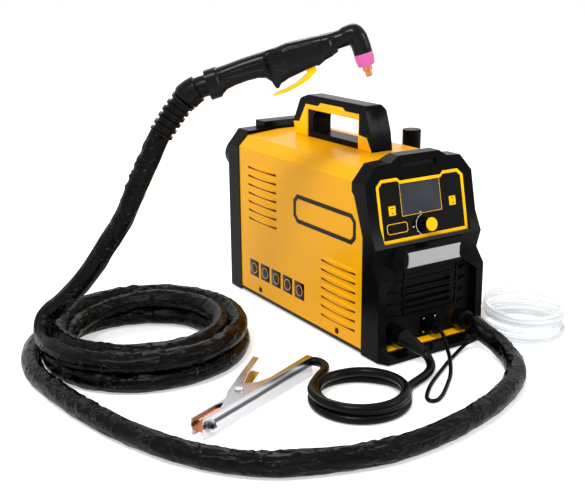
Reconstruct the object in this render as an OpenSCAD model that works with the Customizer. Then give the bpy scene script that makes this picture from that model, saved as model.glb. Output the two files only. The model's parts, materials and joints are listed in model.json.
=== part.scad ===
// Portable inverter plasma cutter with its torch, earth clamp, leads and air hose.
// X runs to the right seen from the front, Y to the back and Z up; the floor is z = 0.

/* [Case] */
// Outside width of the steel cover
cover_w = 166; // [150:1:178]
// Height of the top of the cover's sides, above the fold
cover_h = 234; // [220:1:250]
// Length of the cover, with the parts under both bezels
cover_len = 306; // [290:1:330]
// Rise of the cover's top from the folds to its middle
crown = 4.5; // [3:0.5:6]
// Width and height of the fold between a side and the top
fold = 14.5; // [10:0.5:16]
// Sheet thickness of the cover, base pan and rear panel
sheet = 1.5; // [1:0.1:2]
// Height of the cover's lower edge above the floor
cover_z = 8.5; // [7:0.5:11]
// Number of louvre slots in each group
louvres = 7; // [5:1:7]
// Distance from one louvre slot to the next
louvre_pitch = 12.5; // [10:0.5:12.5]
// Length of a louvre slot
louvre_len = 76; // [60:1:80]
// Height of a louvre slot
louvre_gap = 3; // [2:0.1:3.5]

/* [Bezels] */
// How far the bezels stand out past the cover's sides
bezel_lip = 1.5; // [1.2:0.1:2.5]
// Wall of the plastic bezels
bezel_wall = 5; // [4:0.5:6]
// Overlap of a bezel over the end of the cover
bezel_lap = 6; // [4:0.5:8]
// Depth of the rear bezel behind the visible cover
rear_depth = 30; // [26:1:36]
// Lean of the display panel from upright, in degrees
panel_tilt = 12.3; // [8:0.1:15]
// Width of the display trim
trim_w = 138; // [120:1:140]
// Height of the display trim, measured along the panel
trim_h = 78; // [72:1:80]
// Width of the yellow border of the trim
trim_border = 4; // [3:0.5:5]
// Running clearance round fitted pieces
fit = 0.05; // [0.02:0.01:0.08]

/* [Panel parts] */
// Width of the display window
screen_w = 62; // [50:1:66]
// Height of the display window
screen_h = 39; // [30:1:40]
// Radius of the current knob
knob_r = 9; // [6:0.5:10]
// Length of the current knob
knob_len = 14; // [10:0.5:16]
// Radius of the potentiometer shaft
shaft_r = 3; // [2.5:0.1:3.2]
// Width of a panel button
button_w = 10; // [8:0.5:12]
// Height of a panel button
button_h = 11.5; // [10:0.5:14]
// Travel of a panel button
button_travel = 1.2; // [0.8:0.1:1.3]
// Height of the socket centres above the floor
socket_z = 32; // [30:1:36]
// Distance of the earth and torch sockets from the middle
socket_x = 52; // [48:1:54]
// Radius of the brass pin of the earth plug
plug_pin_r = 6.5; // [5:0.5:7]
// Number of grille bars
grille_bars = 4; // [3:1:4]
// Distance from one grille bar to the next
grille_pitch = 15; // [12:0.5:15]

/* [Carrying handle] */
// Width of the handle
handle_w = 34; // [28:1:36]
// Length of the handle at its foot
handle_len = 179; // [170:1:190]
// Height of the handle above the cover
handle_h = 57.5; // [54:0.5:66]
// Thickness of the grip over the finger gap
grip_t = 19; // [16:0.5:22]

/* [Feet] */
// Height of the rubber feet
foot_h = 6.5; // [5:0.5:8]
// Radius of the rubber feet
foot_r = 10; // [8:0.5:12]
// Distance between the feet across the case
foot_dx = 124; // [110:1:130]
// Distance between the feet along the case
foot_dy = 250; // [230:1:260]
// Radius of the trolley bolt holes
bolt_r = 2.75; // [2:0.05:3.5]

/* [Regulator] */
// Radius of the regulator knob
reg_knob_r = 13; // [10:0.5:14]
// Height of the top of the regulator knob
reg_top = 249; // [240:1:256]
// Outside diameter of the clear air hose
hose_d = 6; // [5:0.5:8]

/* [Torch] */
// Half width of the torch handle
torch_half = 14; // [12:0.5:16]
// Radius of the neck of the torch head
neck_r = 10.3; // [9:0.1:10.8]
// Radius of the nozzle where the cup holds it
tip_r = 5.6; // [5:0.1:6]
// Half width of the torch trigger
trigger_half = 6; // [4:0.5:6.5]
// Radius of the trigger pivot
pivot_r = 1.6; // [1.2:0.1:2]
// Diameter of the torch sleeve
sleeve_d = 26; // [22:1:28]

/* [Earth clamp] */
// Height of the clamp's channel levers lying on their side
clamp_w = 24; // [20:1:28]
// Sheet thickness of the clamp levers
clamp_t = 1.5; // [1:0.1:2]
// Radius of the clamp pin
pin_r = 3; // [2.5:0.1:3.5]
// Diameter of the earth cable
cable_d = 11; // [9:0.5:12]
// Diameter of the control lead
lead_d = 5; // [4:0.5:6]

/* [Hidden] */
$fn = 48;

eps = 0.01;
half_w = cover_w / 2;
bezel_x = half_w + bezel_lip;
cover_front = -cover_len / 2 + 3;
slot_half = 27;
slot_depth = 1.8;
notch_half = slot_half + 5;
cover_rear = cover_len / 2 + 3;
seam_rear = cover_rear - bezel_lap;
back_y = seam_rear + rear_depth;
deck_z = cover_h + crown;
pan_z = foot_h;
deck_half = handle_w / 2 + 1;

// Display panel frame: x across, y up the panel, z out of it
panel_foot = [0, cover_front - 19.2, 146.6];
panel_back = 4;
ledge = 5;
board_w0 = -20;
screen_x = -1.5;
screen_v = 31;
button_x = 48;
button_v = 39;
knob_v = 16;

// Front of the case
nose_y = cover_front - 34;
recess_y = cover_front - 21;
chin_z = 113;
chin_half = 46;
plate_half = 42.3;
plate_z0 = 117.5;
plate_z1 = 136.5;
grille_half = 44;
grille_z = 54;
grille_bar = 1.8;
control_x = 5;
socket_flange_r = 13;
socket_flange_t = 5;
foot_xy = [for (sx = [-1, 1], sy = [-1, 1]) [sx * foot_dx / 2, sy * foot_dy / 2]];
screw_y = 96;
screw_z = 16;

// Handle, along Y
handle_mid = 12.5;
handle_rear = handle_mid + handle_len / 2;
handle_front = handle_mid - handle_len / 2;
handle_top = deck_z + handle_h;
gap_top = handle_top - grip_t;
gap_front = handle_front + 30;
gap_rear = handle_rear - 42;
handle_base_t = 8;
handle_cut = 7;

// Rear panel parts
fan_c = [0, 84];
fan_r = 44;
fan_depth = 25;
gauge_c = [-57, 200];
gauge_r = 21.5;
gauge_end = back_y + 22;
switch_c = [44, 196];
gland_c = [-58, 32];

// Regulator on the right side
reg_x = bezel_x + 18;
reg_y = -12;
reg_half = 17;
reg_z0 = 182;
reg_z1 = 218;
barb_z = 200;

// Torch frame: x along the handle, y away from the front, z up
torch_at = [-237.4, -55.7, 339];
torch_turn = -32.55;
torch_lift = 16.7;
torch_axis = 5;
head_x = 179.5;
trigger_pivot = [118, -12];

// Clamp frame: x along the front lever, y across the levers, z up
clamp_at = [-286, -198, 1.6];
clamp_turn = 21.8;

// Routes, chosen by hand
sleeve_route = [
    [52, -202, 32], [51, -216, 29], [53, -232, 24], [54, -248, 19], [50, -264, 15.5],
    [44, -280, 13.2], [26, -306, 13.2], [-6, -332, 13.2], [-55, -355, 13.2], [-108, -370, 13.2],
    [-165, -378, 13.2], [-221, -377, 13.2], [-275, -362, 13.2], [-325, -339, 13.2],
    [-362, -306, 13.2], [-392, -262, 13.2], [-414, -212, 13.2], [-430, -160, 13.2], [-440, -112, 13.2],
    [-447, -60, 13.2], [-450, -5, 14], [-444, 25, 16], [-434, 50, 19]
];
rise_route = [
    [-420, 62, 34], [-412, 56, 55], [-391, 42, 80], [-366, 27, 112], [-344, 13, 150], [-327, 1, 182],
    [-312, -8, 219], [-298, -17, 253], [-285, -25, 283]
];
earth_route = [
    [-38, -216, 18], [-37, -224, 12], [-41, -233, 7.5], [-50, -241, 5.8], [-64, -249, 5.6], [-84, -256, 5.6],
    [-110, -262, 5.6]
];
earth_tail_route = [
    [-192, -208, 17], [-180, -199, 16], [-166, -188, 14.5], [-156, -174, 13.6], [-156, -161, 13.6],
    [-165, -153.5, 13.6], [-176, -156, 13.6], [-191, -165, 13.6], [-214, -176.4, 13.6],
    [-237, -185.7, 13.6], [-260.3, -195, 13.6]
];
control_route = [
    [5, -190, 32], [5, -199, 28], [2, -210, 20], [-4, -221, 14], [-12, -234, 10], [-22, -247, 5.5],
    [-34, -260, 2.8], [-50, -274, 2.8], [-66, -287, 2.8], [-80, -297, 2.8], [-92, -302, 2.8],
    [-98, -299, 2.8], [-97, -292, 2.8], [-87, -281, 2.8], [-70, -267, 2.8], [-49, -253, 2.8],
    [-28, -240, 2.8], [-10, -229, 2.8], [10, -218, 2.8], [28, -210, 5], [40, -208, 9], [48, -213, 14],
    [51, -219, 20]
];
hose_out_route = [
    [reg_x, reg_y + 30, barb_z], [102, 32, 198], [103, 44, 186], [104, 50, 166], [105, 52, 130],
    [106, 52, 90], [107, 50, 50], [109, 42, 20], [111, 22, 6], [113, -10, 3.2], [116, -50, 3.2],
    [126, -84, 3.2], [146, -113, 3.2], [168, -134, 3.2], [184, -152, 4]
];
hose_end_route = [
    [166, -151, 42], [178, -149, 45], [200, -145, 47], [236, -135, 50], [272, -125, 52]
];
sleeve_coil_at = [-304, 15, 135, 75, 48];
earth_coil_at = [-163, -254, 59, 41, 24];
hose_coil_at = [150, -195, 58, 42, 48];

// Helpers -------------------------------------------------------------

// Extrude an (x, z) outline along Y
module along_y(y0, y1) {
    translate([0, y1, 0]) rotate([90, 0, 0]) linear_extrude(y1 - y0) children();
}

// Extrude a (y, z) outline along X
module along_x(x0, x1) {
    translate([x0, 0, 0]) rotate([90, 0, 90]) linear_extrude(x1 - x0) children();
}

// Box between two corners
module block(a, b) {
    translate(a) cube(b - a);
}

// Cylinder along Y from y0 to y1
module rod_y(x, z, r, y0, y1) {
    translate([x, y1, z]) rotate([90, 0, 0]) cylinder(r = r, h = y1 - y0);
}

module on_panel() {
    translate(panel_foot) rotate([90 - panel_tilt, 0, 0]) children();
}

module on_torch() {
    translate(torch_at) rotate([0, 0, torch_turn]) rotate([0, -torch_lift, 0]) children();
}

module on_clamp() {
    translate(clamp_at) rotate([0, 0, clamp_turn]) children();
}

// Extrude an (x, z) outline of the torch frame between two offsets across it
module torch_slab(y0, y1) {
    translate([0, y1, 0]) rotate([90, 0, 0]) linear_extrude(y1 - y0) children();
}

function unit(v) = v / norm(v);
function tangent(p, i) =
    i == 0 ? unit(p[1] - p[0]) :
    i == len(p) - 1 ? unit(p[i] - p[i - 1]) :
    unit(unit(p[i + 1] - p[i]) + unit(p[i] - p[i - 1]));
function level(t) = unit(cross(t, abs(t[2]) > 0.95 ? [0, 1, 0] : [0, 0, 1]));
function ring(c, t, r, n) =
    let (a = level(t), b = cross(t, a))
    [for (k = [0:n - 1]) c + r * (cos(360 * k / n) * a + sin(360 * k / n) * b)];

// One closed tube through the points of a route, with a radius for each point
module tube(route, radii, n = 10) {
    rings = [for (i = [0:len(route) - 1]) each ring(route[i], tangent(route, i), radii[i], n)];
    last = (len(route) - 1) * n;
    sides = [for (i = [0:len(route) - 2], k = [0:n - 1])
        [i * n + k, i * n + (k + 1) % n, (i + 1) * n + (k + 1) % n, (i + 1) * n + k]];
    start = [for (k = [0:n - 1]) n - 1 - k];
    finish = [for (k = [0:n - 1]) last + k];
    polyhedron(rings, concat([start], sides, [finish]), convexity = 8);
}

function even(route, r) = [for (p = route) r];

// Solid of a coil's outer shape: x, y, outer radius, inner radius, height
module coil(c) {
    round = min((c[2] - c[3]) / 2, c[4] / 2) * 0.6;
    translate([c[0], c[1], 0]) rotate_extrude($fn = 64) polygon([
        [c[3] + round, 0], [c[2] - round, 0], [c[2], round], [c[2], c[4] - round],
        [c[2] - round, c[4]], [c[3] + round, c[4]], [c[3], c[4] - round], [c[3], round]
    ]);
}

// Case ----------------------------------------------------------------

function mirrored(half) = concat(half, [for (i = [len(half) - 1:-1:0]) [-half[i][0], half[i][1]]]);

// Outline of the cover, pulled in by a distance
function cover_outline(in, z0) = mirrored([
    [half_w - in, z0], [half_w - in, cover_h - fold - in * 0.4],
    [half_w - fold - in * 0.5, cover_h - in], [deck_half, deck_z - in]
]);

// Outline of both bezels, pulled in by a distance
function bezel_outline(in, z0) = mirrored([
    [bezel_x - in, z0], [bezel_x - in, cover_h - 15 - in * 0.4],
    [bezel_x - 18 - in * 0.5, cover_h + 6 - in], [0, cover_h + 7.5 - in]
]);

module louvre_group(y0, z_top) {
    for (i = [0:louvres - 1])
        block([-half_w - 1, y0, z_top - i * louvre_pitch - louvre_gap],
              [half_w + 1, y0 + louvre_len, z_top - i * louvre_pitch]);
}

module cover() {
    color("gold") difference() {
        along_y(cover_front, cover_rear) polygon(cover_outline(0, cover_z));
        along_y(cover_front - 1, cover_rear + 1) polygon(cover_outline(sheet, cover_z - 1));
        front_notch(0);
        louvre_group(seam_rear - 100, cover_h - 39);
        louvre_group(cover_front + 15, cover_h - 130);
        for (sy = [-1, 1]) translate([-half_w - 1, sy * screw_y, screw_z]) rotate([0, 90, 0])
            cylinder(r = 2, h = cover_w + 2);
        for (sy = [gap_front - 14, gap_rear + 20])
            translate([0, sy, deck_z - 3]) cylinder(r = 2.5, h = 6);
    }
}

module base_pan() {
    flange_x = half_w - sheet - fit;
    color("#202022") difference() {
        union() {
            block([-half_w, cover_front, pan_z - 3], [half_w, cover_rear, cover_z]);
            for (s = [-1, 1]) scale([s, 1, 1])
                block([flange_x - sheet, cover_front, cover_z - eps], [flange_x, cover_rear, 26]);
        }
        block([-half_w + sheet, cover_front + sheet, pan_z - 4], [half_w - sheet, cover_rear - sheet, pan_z]);
        for (p = foot_xy) translate([p[0], p[1], 0]) cylinder(r = bolt_r, h = 30);
        for (s = [-1, 1], sy = [-1, 1]) translate([s * half_w, sy * screw_y, screw_z])
            rotate([0, 90, 0]) cylinder(r = 2, h = 12, center = true);
    }
}

module rubber_feet() {
    color("#141414") for (p = foot_xy) translate([p[0], p[1], 0])
        rotate_extrude() polygon([
            [bolt_r, 0], [foot_r - 1.5, 0], [foot_r, 1.5], [foot_r, foot_h], [bolt_r, foot_h]
        ]);
}

// Side view of the front bezel above its waist
module upper_side() {
    f = cover_front;
    lean = tan(panel_tilt);
    polygon([
        [f + 23, cover_h - 27], [f + 23, cover_h + 9], [f + 19, cover_h + 15], [f, cover_h + 15],
        [f - 2.6, cover_h - 11], [f - 2.6 - 55 * lean, cover_h - 66], [f - 26.5, cover_h - 90],
        [f - 20, cover_h - 113], [f, cover_h - 113], [f, cover_h - 79], [f + 18.5, cover_h - 30.5]
    ]);
}

// Side view of the front bezel below its waist
module lower_side() {
    f = cover_front;
    polygon([
        [f, 2], [f - 47, 2], [f - 48, 8], [f - 36, 22], [nose_y, 105], [f - 20, 121], [f, 121]
    ]);
}

module front_view() {
    polygon(mirrored([
        [bezel_x, 110], [bezel_x, cover_h - 15], [bezel_x - 18, cover_h + 6],
        [44, cover_h + 7.5], [32, cover_h + 15]
    ]));
}

module front_plan() {
    f = cover_front;
    polygon([
        [-bezel_x, f + 1], [-bezel_x, nose_y], [-bezel_x + 8, f - 48],
        [bezel_x - 8, f - 48], [bezel_x, nose_y], [bezel_x, f + 1]
    ]);
}

// Slanting facet on the shoulder of the lower block, on the right side
module shoulder_cut() {
    intersection() {
        translate([bezel_x, cover_front - 20, 120.8]) rotate([0, 53.3, -75.4])
            translate([-70, -70, 0]) cube([140, 140, 60]);
        block([chin_half + 3, nose_y - 30, 60], [bezel_x + 5, cover_front, 160]);
    }
}

// Room in the cover's front edge for the wall behind the slot above the panel
module front_notch(gap) {
    block([-notch_half - gap, cover_front - 1, cover_h - 6 - gap], [notch_half + gap, cover_front + 5 + gap, deck_z + 2]);
}
module front_bezel() {
    f = cover_front;
    inner = bezel_x - bezel_wall;
    color("#1b1b1d") difference() {
        union() {
            intersection() {
                along_y(nose_y - 30, f + 30) front_view();
                along_x(-bezel_x, bezel_x) upper_side();
            }
            difference() {
                intersection() {
                    along_x(-bezel_x, bezel_x) lower_side();
                    linear_extrude(200) front_plan();
                }
                for (s = [0, 1]) mirror([s, 0, 0]) shoulder_cut();
                along_y(nose_y - 30, f + 1) polygon(mirrored([[73, 14], [73, 97], [50, chin_z]]));
            }
            intersection() {
                linear_extrude(200) polygon([
                    [-chin_half, nose_y], [chin_half, nose_y], [chin_half + 14, f - 15], [-chin_half - 14, f - 15]
                ]);
                along_x(-70, 70) polygon([
                    [nose_y - 1, chin_z], [nose_y - 1, 138.5], [f - 19.5, 146], [f - 15, 146], [f - 15, chin_z]
                ]);
            }
        }
        difference() {
            along_y(f, f + 40) polygon(cover_outline(-fit, 0));
            front_notch(-fit);
        }
        on_panel() translate([0, 0, -panel_back]) linear_extrude(44) polygon(trim_outline(-fit));
        on_panel() block([-trim_w / 2 + 4, 4, -30], [trim_w / 2 - 4, trim_h - 8, 1]);
        on_panel() block([-inner, -2, -60], [inner, trim_h - 4, -panel_back - ledge]);
        block([-inner, recess_y, 10], [inner, f + 1, chin_z - 1]);
        on_panel() block([-slot_half, trim_h + 10, -slot_depth], [slot_half, trim_h + 17.5, 20]);
    }
}

module rear_bezel() {
    color("#1b1b1d") difference() {
        union() {
            along_y(seam_rear, back_y) polygon(bezel_outline(0, 2));
            along_x(-37, 37) polygon([
                [seam_rear + 2, cover_h], [seam_rear + 6, cover_h + 16], [back_y, cover_h + 16], [back_y, cover_h]
            ]);
        }
        along_y(seam_rear - 1, cover_rear) polygon(cover_outline(-fit, -1));
        along_y(cover_rear - eps, back_y - 5) polygon(bezel_outline(bezel_wall, 10));
        along_y(back_y - 6, back_y + 1) polygon(bezel_outline(bezel_wall + 6, 16));
        rod_y(gauge_c[0], gauge_c[1], gauge_r + 0.5, back_y - 6, back_y + 1);
    }
}

module rear_panel() {
    y0 = back_y - 5 - sheet;
    color("#1e1e20") difference() {
        along_y(y0, back_y - 5) polygon(bezel_outline(bezel_wall + 0.1, 10.1));
        intersection() {
            rod_y(fan_c[0], fan_c[1], fan_r - 4, y0 - 1, back_y);
            for (i = [-5:5]) block([-fan_r, y0 - 1, fan_c[1] + 8 * i - 2.5], [fan_r, back_y, fan_c[1] + 8 * i + 2.5]);
        }
        rod_y(gauge_c[0], gauge_c[1], 6 + fit, y0 - 1, back_y);
        rod_y(gland_c[0], gland_c[1], 9 + fit, y0 - 1, back_y);
        block([switch_c[0] - 14 - fit, y0 - 1, switch_c[1] - 11 - fit],
              [switch_c[0] + 14 + fit, back_y, switch_c[1] + 11 + fit]);
    }
}

// Dark plate behind the grille, carrying the three sockets
module socket_panel() {
    y0 = recess_y;
    color("#131315") difference() {
        block([-78, y0, 11], [78, y0 + 3, chin_z - 2]);
        for (s = [-1, 1]) rod_y(s * socket_x, socket_z, 10 + fit, y0 - 1, y0 + 4);
        rod_y(control_x, socket_z, 7 + fit, y0 - 1, y0 + 4);
        for (i = [0:4]) block([-40, y0 - 1, 58 + 9 * i], [40, y0 + 4, 62 + 9 * i]);
    }
}

// Display -------------------------------------------------------------

// Outline of the trim: straight foot, cut upper corners and a step under the top slot
function trim_outline(in) = mirrored([
    [trim_w / 2 - in, in], [trim_w / 2 - in, trim_h - 8 - in * 0.4],
    [trim_w / 2 - 8 - in * 0.4, trim_h - in], [36, trim_h - in], [32, trim_h - 4 - in]
]);

module display_trim() {
    color("gold") on_panel() translate([0, 0, -1]) linear_extrude(1) difference() {
        polygon(trim_outline(0));
        polygon(trim_outline(trim_border));
    }
}

module display_panel() {
    color("#0c0c0e") on_panel() difference() {
        translate([0, 0, -panel_back]) linear_extrude(panel_back - 1) polygon(trim_outline(0));
        block([screen_x - screen_w / 2 - fit, screen_v - fit, -6],
              [screen_x + screen_w / 2 + fit, screen_v + screen_h + fit, 1]);
        translate([0, knob_v, -6]) cylinder(r = shaft_r + 0.5, h = 8);
        for (s = [-1, 1])
            block([s * button_x - button_w / 2 - 0.1, button_v - button_h / 2 - 0.1, -6],
                  [s * button_x + button_w / 2 + 0.1, button_v + button_h / 2 + 0.1, 1]);
    }
}

module display_screen() {
    color("#45454f") on_panel()
        block([screen_x - screen_w / 2, screen_v, -panel_back], [screen_x + screen_w / 2, screen_v + screen_h, -1.2]);
}

module panel_button(s) {
    color("gold") on_panel() translate([s * button_x, button_v, 0]) {
        block([-button_w / 2, -button_h / 2, -panel_back - 1.9], [button_w / 2, button_h / 2, 0.2]);
        block([-button_w / 2 - 1, -button_h / 2 - 1, -panel_back - 1.9],
              [button_w / 2 + 1, button_h / 2 + 1, -panel_back - 0.2]);
    }
}

module current_knob() {
    color("#101012") on_panel() translate([0, knob_v, 0]) difference() {
        rotate_extrude() polygon([
            [shaft_r + fit, -0.7], [knob_r + 0.8, -0.7], [knob_r + 0.8, 1.5], [knob_r, 2.5],
            [knob_r - 0.6, knob_len - 2], [shaft_r + fit, knob_len - 2]
        ]);
    }
}

module knob_cap() {
    color("gold") on_panel() translate([0, knob_v, knob_len - 2])
        cylinder(r1 = knob_r - 0.4, r2 = knob_r - 0.8, h = 2);
}

// Board with the potentiometer, its shaft, two key switches and four pillars
module control_board() {
    pillar_x = trim_w / 2 - 9;
    key_top = -panel_back - 1.9 - button_travel - 0.3;
    color("#1f6b3a") on_panel() {
        block([-pillar_x - 4, 6, board_w0], [pillar_x + 4, trim_h - 10, board_w0 + 1.6]);
        for (s = [-1, 1], v = [11, trim_h - 14]) translate([s * pillar_x, v, board_w0 + 1.6])
            cylinder(r = 3, h = -board_w0 - 1.6 - panel_back);
        for (s = [-1, 1]) translate([s * button_x, button_v, board_w0 + 1.6])
            cylinder(r = 2.5, h = key_top - board_w0 - 1.6);
        translate([0, knob_v, board_w0 + 1.6]) cylinder(r = 8, h = 10);
        translate([0, knob_v, board_w0 + 11.6 - eps]) cylinder(r = shaft_r, h = knob_len - 4 - board_w0 - 11.6);
    }
}

// Lower front ---------------------------------------------------------

module name_plate() {
    color("#c9cacc") along_y(nose_y - 2, nose_y) polygon([
        [-plate_half, plate_z0], [plate_half, plate_z0], [plate_half - 1.8, plate_z0 + 5],
        [plate_half - 1.8, plate_z1 - 5], [plate_half, plate_z1],
        [-plate_half, plate_z1], [-plate_half + 1.8, plate_z1 - 5], [-plate_half + 1.8, plate_z0 + 5]
    ]);
}

function grille_path(in) = [
    [-grille_half - 20 + in * 0.5, recess_y], [-grille_half + in * 0.5, nose_y + 3 + in],
    [grille_half - in * 0.5, nose_y + 3 + in], [grille_half + 20 - in * 0.5, recess_y]
];

module front_grille() {
    color("#1a1a1c") {
        for (i = [0:grille_bars - 1]) translate([0, 0, grille_z + i * grille_pitch])
            linear_extrude(grille_bar) difference() {
                polygon(grille_path(0));
                translate([0, eps, 0]) polygon(grille_path(grille_bar * 1.6));
            }
        for (s = [-1, 1]) scale([s, 1, 1])
            block([grille_half - grille_bar - 1, nose_y + 3.2, grille_z + 0.2], [grille_half - 1, nose_y + 6, chin_z]);
    }
}

// Round panel socket with a brass bore
module panel_socket(x, bore) {
    difference() {
        union() {
            rod_y(x, socket_z, socket_flange_r, recess_y - socket_flange_t, recess_y);
            rod_y(x, socket_z, 10, recess_y - eps, recess_y + 24);
        }
        rod_y(x, socket_z, bore, recess_y - socket_flange_t - 1, recess_y + 16);
    }
}

module earth_socket() {
    color("#3a3022") panel_socket(-socket_x, plug_pin_r + fit);
}

// Plug with a brass pin and a bent rubber boot over the cable's end
module earth_plug() {
    y1 = recess_y - socket_flange_t;
    color("#121214") {
        rod_y(-socket_x, socket_z, plug_pin_r, y1 - 2, recess_y + 14);
        rod_y(-socket_x, socket_z, 12, y1 - 16, y1);
        hull() {
            rod_y(-socket_x, socket_z, 11, y1 - 20, y1 - 16, $fn = 32);
            translate(earth_route[0]) rotate([55, 0, 25]) cylinder(r = cable_d / 2 + 1.5, h = 3, $fn = 32);
        }
    }
}

module torch_socket() {
    color("#9a6a30") {
        panel_socket(socket_x, 4);
        difference() {
            rod_y(socket_x, socket_z, 9, recess_y - 16, recess_y - socket_flange_t + eps);
            rod_y(socket_x, socket_z, 4, recess_y - 20, recess_y);
        }
    }
}

// Brass nut of the torch lead, turned onto the socket's thread
module torch_nut() {
    y1 = recess_y - socket_flange_t;
    y0 = sleeve_route[0][1];
    color("#b8894a") difference() {
        union() {
            rod_y(socket_x, socket_z, 13, y1 - 16, y1 - 0.3);
            rod_y(socket_x, socket_z, 10, y0, y1 - 15);
        }
        rod_y(socket_x, socket_z, 9 + fit, y1 - 12, y1);
        rod_y(socket_x, socket_z, 4, y0 - 1, y1);
    }
}

module control_socket() {
    y0 = recess_y;
    color("#a8a9ac") difference() {
        union() {
            block([control_x - 12, y0 - 2, socket_z - 12], [control_x + 12, y0, socket_z + 12]);
            rod_y(control_x, socket_z, 7, y0 - eps, y0 + 14);
            rod_y(control_x, socket_z, 9, control_route[0][1], y0 - 2 + eps);
            for (sx = [-1, 1], sz = [-1, 1])
                rod_y(control_x + 9 * sx, socket_z + 9 * sz, 2, y0 - 3.4, y0 - 2 + eps);
        }
    }
}

module case_screws() {
    color("#2a2a2c") for (s = [0, 1], sy = [-1, 1]) mirror([s, 0, 0])
        translate([half_w, sy * screw_y, screw_z]) rotate([0, 90, 0]) {
            cylinder(r1 = 4.2, r2 = 3, h = 1.3);
            translate([0, 0, -8]) cylinder(r = 2 - fit, h = 8 + eps);
        }
}

// Carrying handle -----------------------------------------------------

module handle_side() {
    polygon([
        [handle_rear, deck_z], [handle_rear + 6, deck_z + 17.5], [handle_rear - 13, handle_top - 4.5],
        [handle_rear - 25, handle_top], [handle_front + 19, handle_top], [handle_front + 15, handle_top - 4],
        [handle_front + 4, deck_z + 24], [handle_front, deck_z]
    ]);
}

// Yellow part of the side view: a stepped band round the finger gap and both feet
module liner_side() {
    polygon([
        [handle_rear, deck_z], [handle_rear + 6, deck_z + 17.5], [handle_rear - 9, deck_z + 19],
        [gap_rear + 16, gap_top + 7], [gap_rear - 14, gap_top + 7], [gap_rear - 20, gap_top + 12],
        [gap_front + 34, gap_top + 12], [gap_front + 29, gap_top + 8], [gap_front - 2, gap_top + 8],
        [gap_front - 2, deck_z + 19.5], [handle_front + 11, deck_z + 18], [handle_front, deck_z]
    ]);
}

// Space inside the handle, filled by the base bar and the finger gap
module inner_side() {
    polygon([
        [gap_front, deck_z], [gap_front, gap_top], [gap_rear + 12, gap_top], [gap_rear + 12, deck_z]
    ]);
}

module finger_gap() {
    r = 14;
    polygon(concat(
        [[gap_front, deck_z + handle_base_t], [gap_front, gap_top]],
        [for (a = [90:-15:0]) [gap_rear - r + r * cos(a), gap_top - r + r * sin(a)]],
        [[gap_rear, deck_z + handle_base_t]]
    ));
}

module handle_liner() {
    color("gold") along_x(-handle_w / 2, handle_w / 2) difference() {
        liner_side();
        inner_side();
    }
}

// Cross-section of the handle, with its upper edges cut off
module handle_section() {
    polygon(mirrored([
        [handle_w / 2, deck_z], [handle_w / 2, handle_top - handle_cut], [handle_w / 2 - handle_cut * 0.7, handle_top]
    ]));
}

module handle_half() {
    intersection() {
        along_x(fit, handle_w / 2) difference() {
            handle_side();
            liner_side();
            inner_side();
        }
        along_y(handle_front - 1, handle_rear + 10) handle_section();
    }
}

module handle_shell_left() {
    color("#1a1a1c") {
        mirror([1, 0, 0]) handle_half();
        along_x(-handle_w / 2 + 2, handle_w / 2 - 2) difference() {
            inner_side();
            finger_gap();
        }
    }
}

module handle_shell_right() {
    color("#1a1a1c") handle_half();
}

// Rear ----------------------------------------------------------------

module fan_frame() {
    y1 = back_y - 5 - sheet;
    size = fan_r + 2;
    color("#151517") difference() {
        block([fan_c[0] - size, y1 - fan_depth, fan_c[1] - size], [fan_c[0] + size, y1, fan_c[1] + size]);
        rod_y(fan_c[0], fan_c[1], fan_r, y1 - fan_depth - 1, y1 - 8);
        rod_y(fan_c[0], fan_c[1], fan_r - 4, y1 - 9, y1 + 1);
    }
    color("#151517") {
        for (a = [0, 90]) translate([fan_c[0], y1 - fan_depth + 1.5, fan_c[1]]) rotate([0, a, 0])
            cube([8, 3, 2 * fan_r + 1], center = true);
        rod_y(fan_c[0], fan_c[1], 3, y1 - fan_depth + 2, y1 - 6);
    }
}

module fan_rotor() {
    y1 = back_y - 5 - sheet;
    color("#222226") difference() {
        union() {
            rod_y(fan_c[0], fan_c[1], 17, y1 - fan_depth + 4, y1 - 8);
            for (i = [0:6]) translate([fan_c[0], y1 - 15, fan_c[1]]) rotate([0, i * 360 / 7, 0])
                rotate([0, 0, 32]) translate([-8, -1, 12]) cube([16, 2, fan_r - 14.5]);
        }
        rod_y(fan_c[0], fan_c[1], 3 + fit, y1 - fan_depth, y1);
    }
}

module power_switch() {
    y1 = back_y - 5;
    x = switch_c[0];
    z = switch_c[1];
    color("#0f0f11") difference() {
        union() {
            block([x - 14, y1 - 20, z - 11], [x + 14, y1 + 0.5, z + 11]);
            block([x - 16, y1, z - 13], [x + 16, y1 + 2, z + 13]);
        }
        block([x - 11, y1 - 12, z - 8], [x + 11, y1 + 3, z + 8]);
    }
}

module power_rocker() {
    y1 = back_y - 5;
    color("#b3201c") translate([switch_c[0], y1 - 4, switch_c[1]]) rotate([90, 0, 90])
        translate([0, 0, -10.6]) linear_extrude(21.2)
            polygon([[-5, -5], [-5, 5], [4.2, 7.2], [6, 5.8], [5, 0], [6, -5.8], [4.2, -7.2]]);
}

module mains_gland() {
    y1 = back_y - 5;
    color("#101012") difference() {
        union() {
            rod_y(gland_c[0], gland_c[1], 9, y1 - 12, y1 + 1);
            rod_y(gland_c[0], gland_c[1], 13, y1, y1 + 5);
            rod_y(gland_c[0], gland_c[1], 10, y1 + 4, y1 + 22);
        }
        rod_y(gland_c[0], gland_c[1], 5, y1 - 13, y1 + 23);
    }
}

module gauge() {
    y1 = back_y - 5;
    color("#0e0e10") difference() {
        union() {
            rod_y(gauge_c[0], gauge_c[1], gauge_r, y1, gauge_end);
            rod_y(gauge_c[0], gauge_c[1], 6, y1 - 16, y1 + 1);
        }
        rod_y(gauge_c[0], gauge_c[1], gauge_r - 2.5, gauge_end - 2, gauge_end + 1);
    }
}

// Air regulator on the right side ------------------------------------

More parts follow.
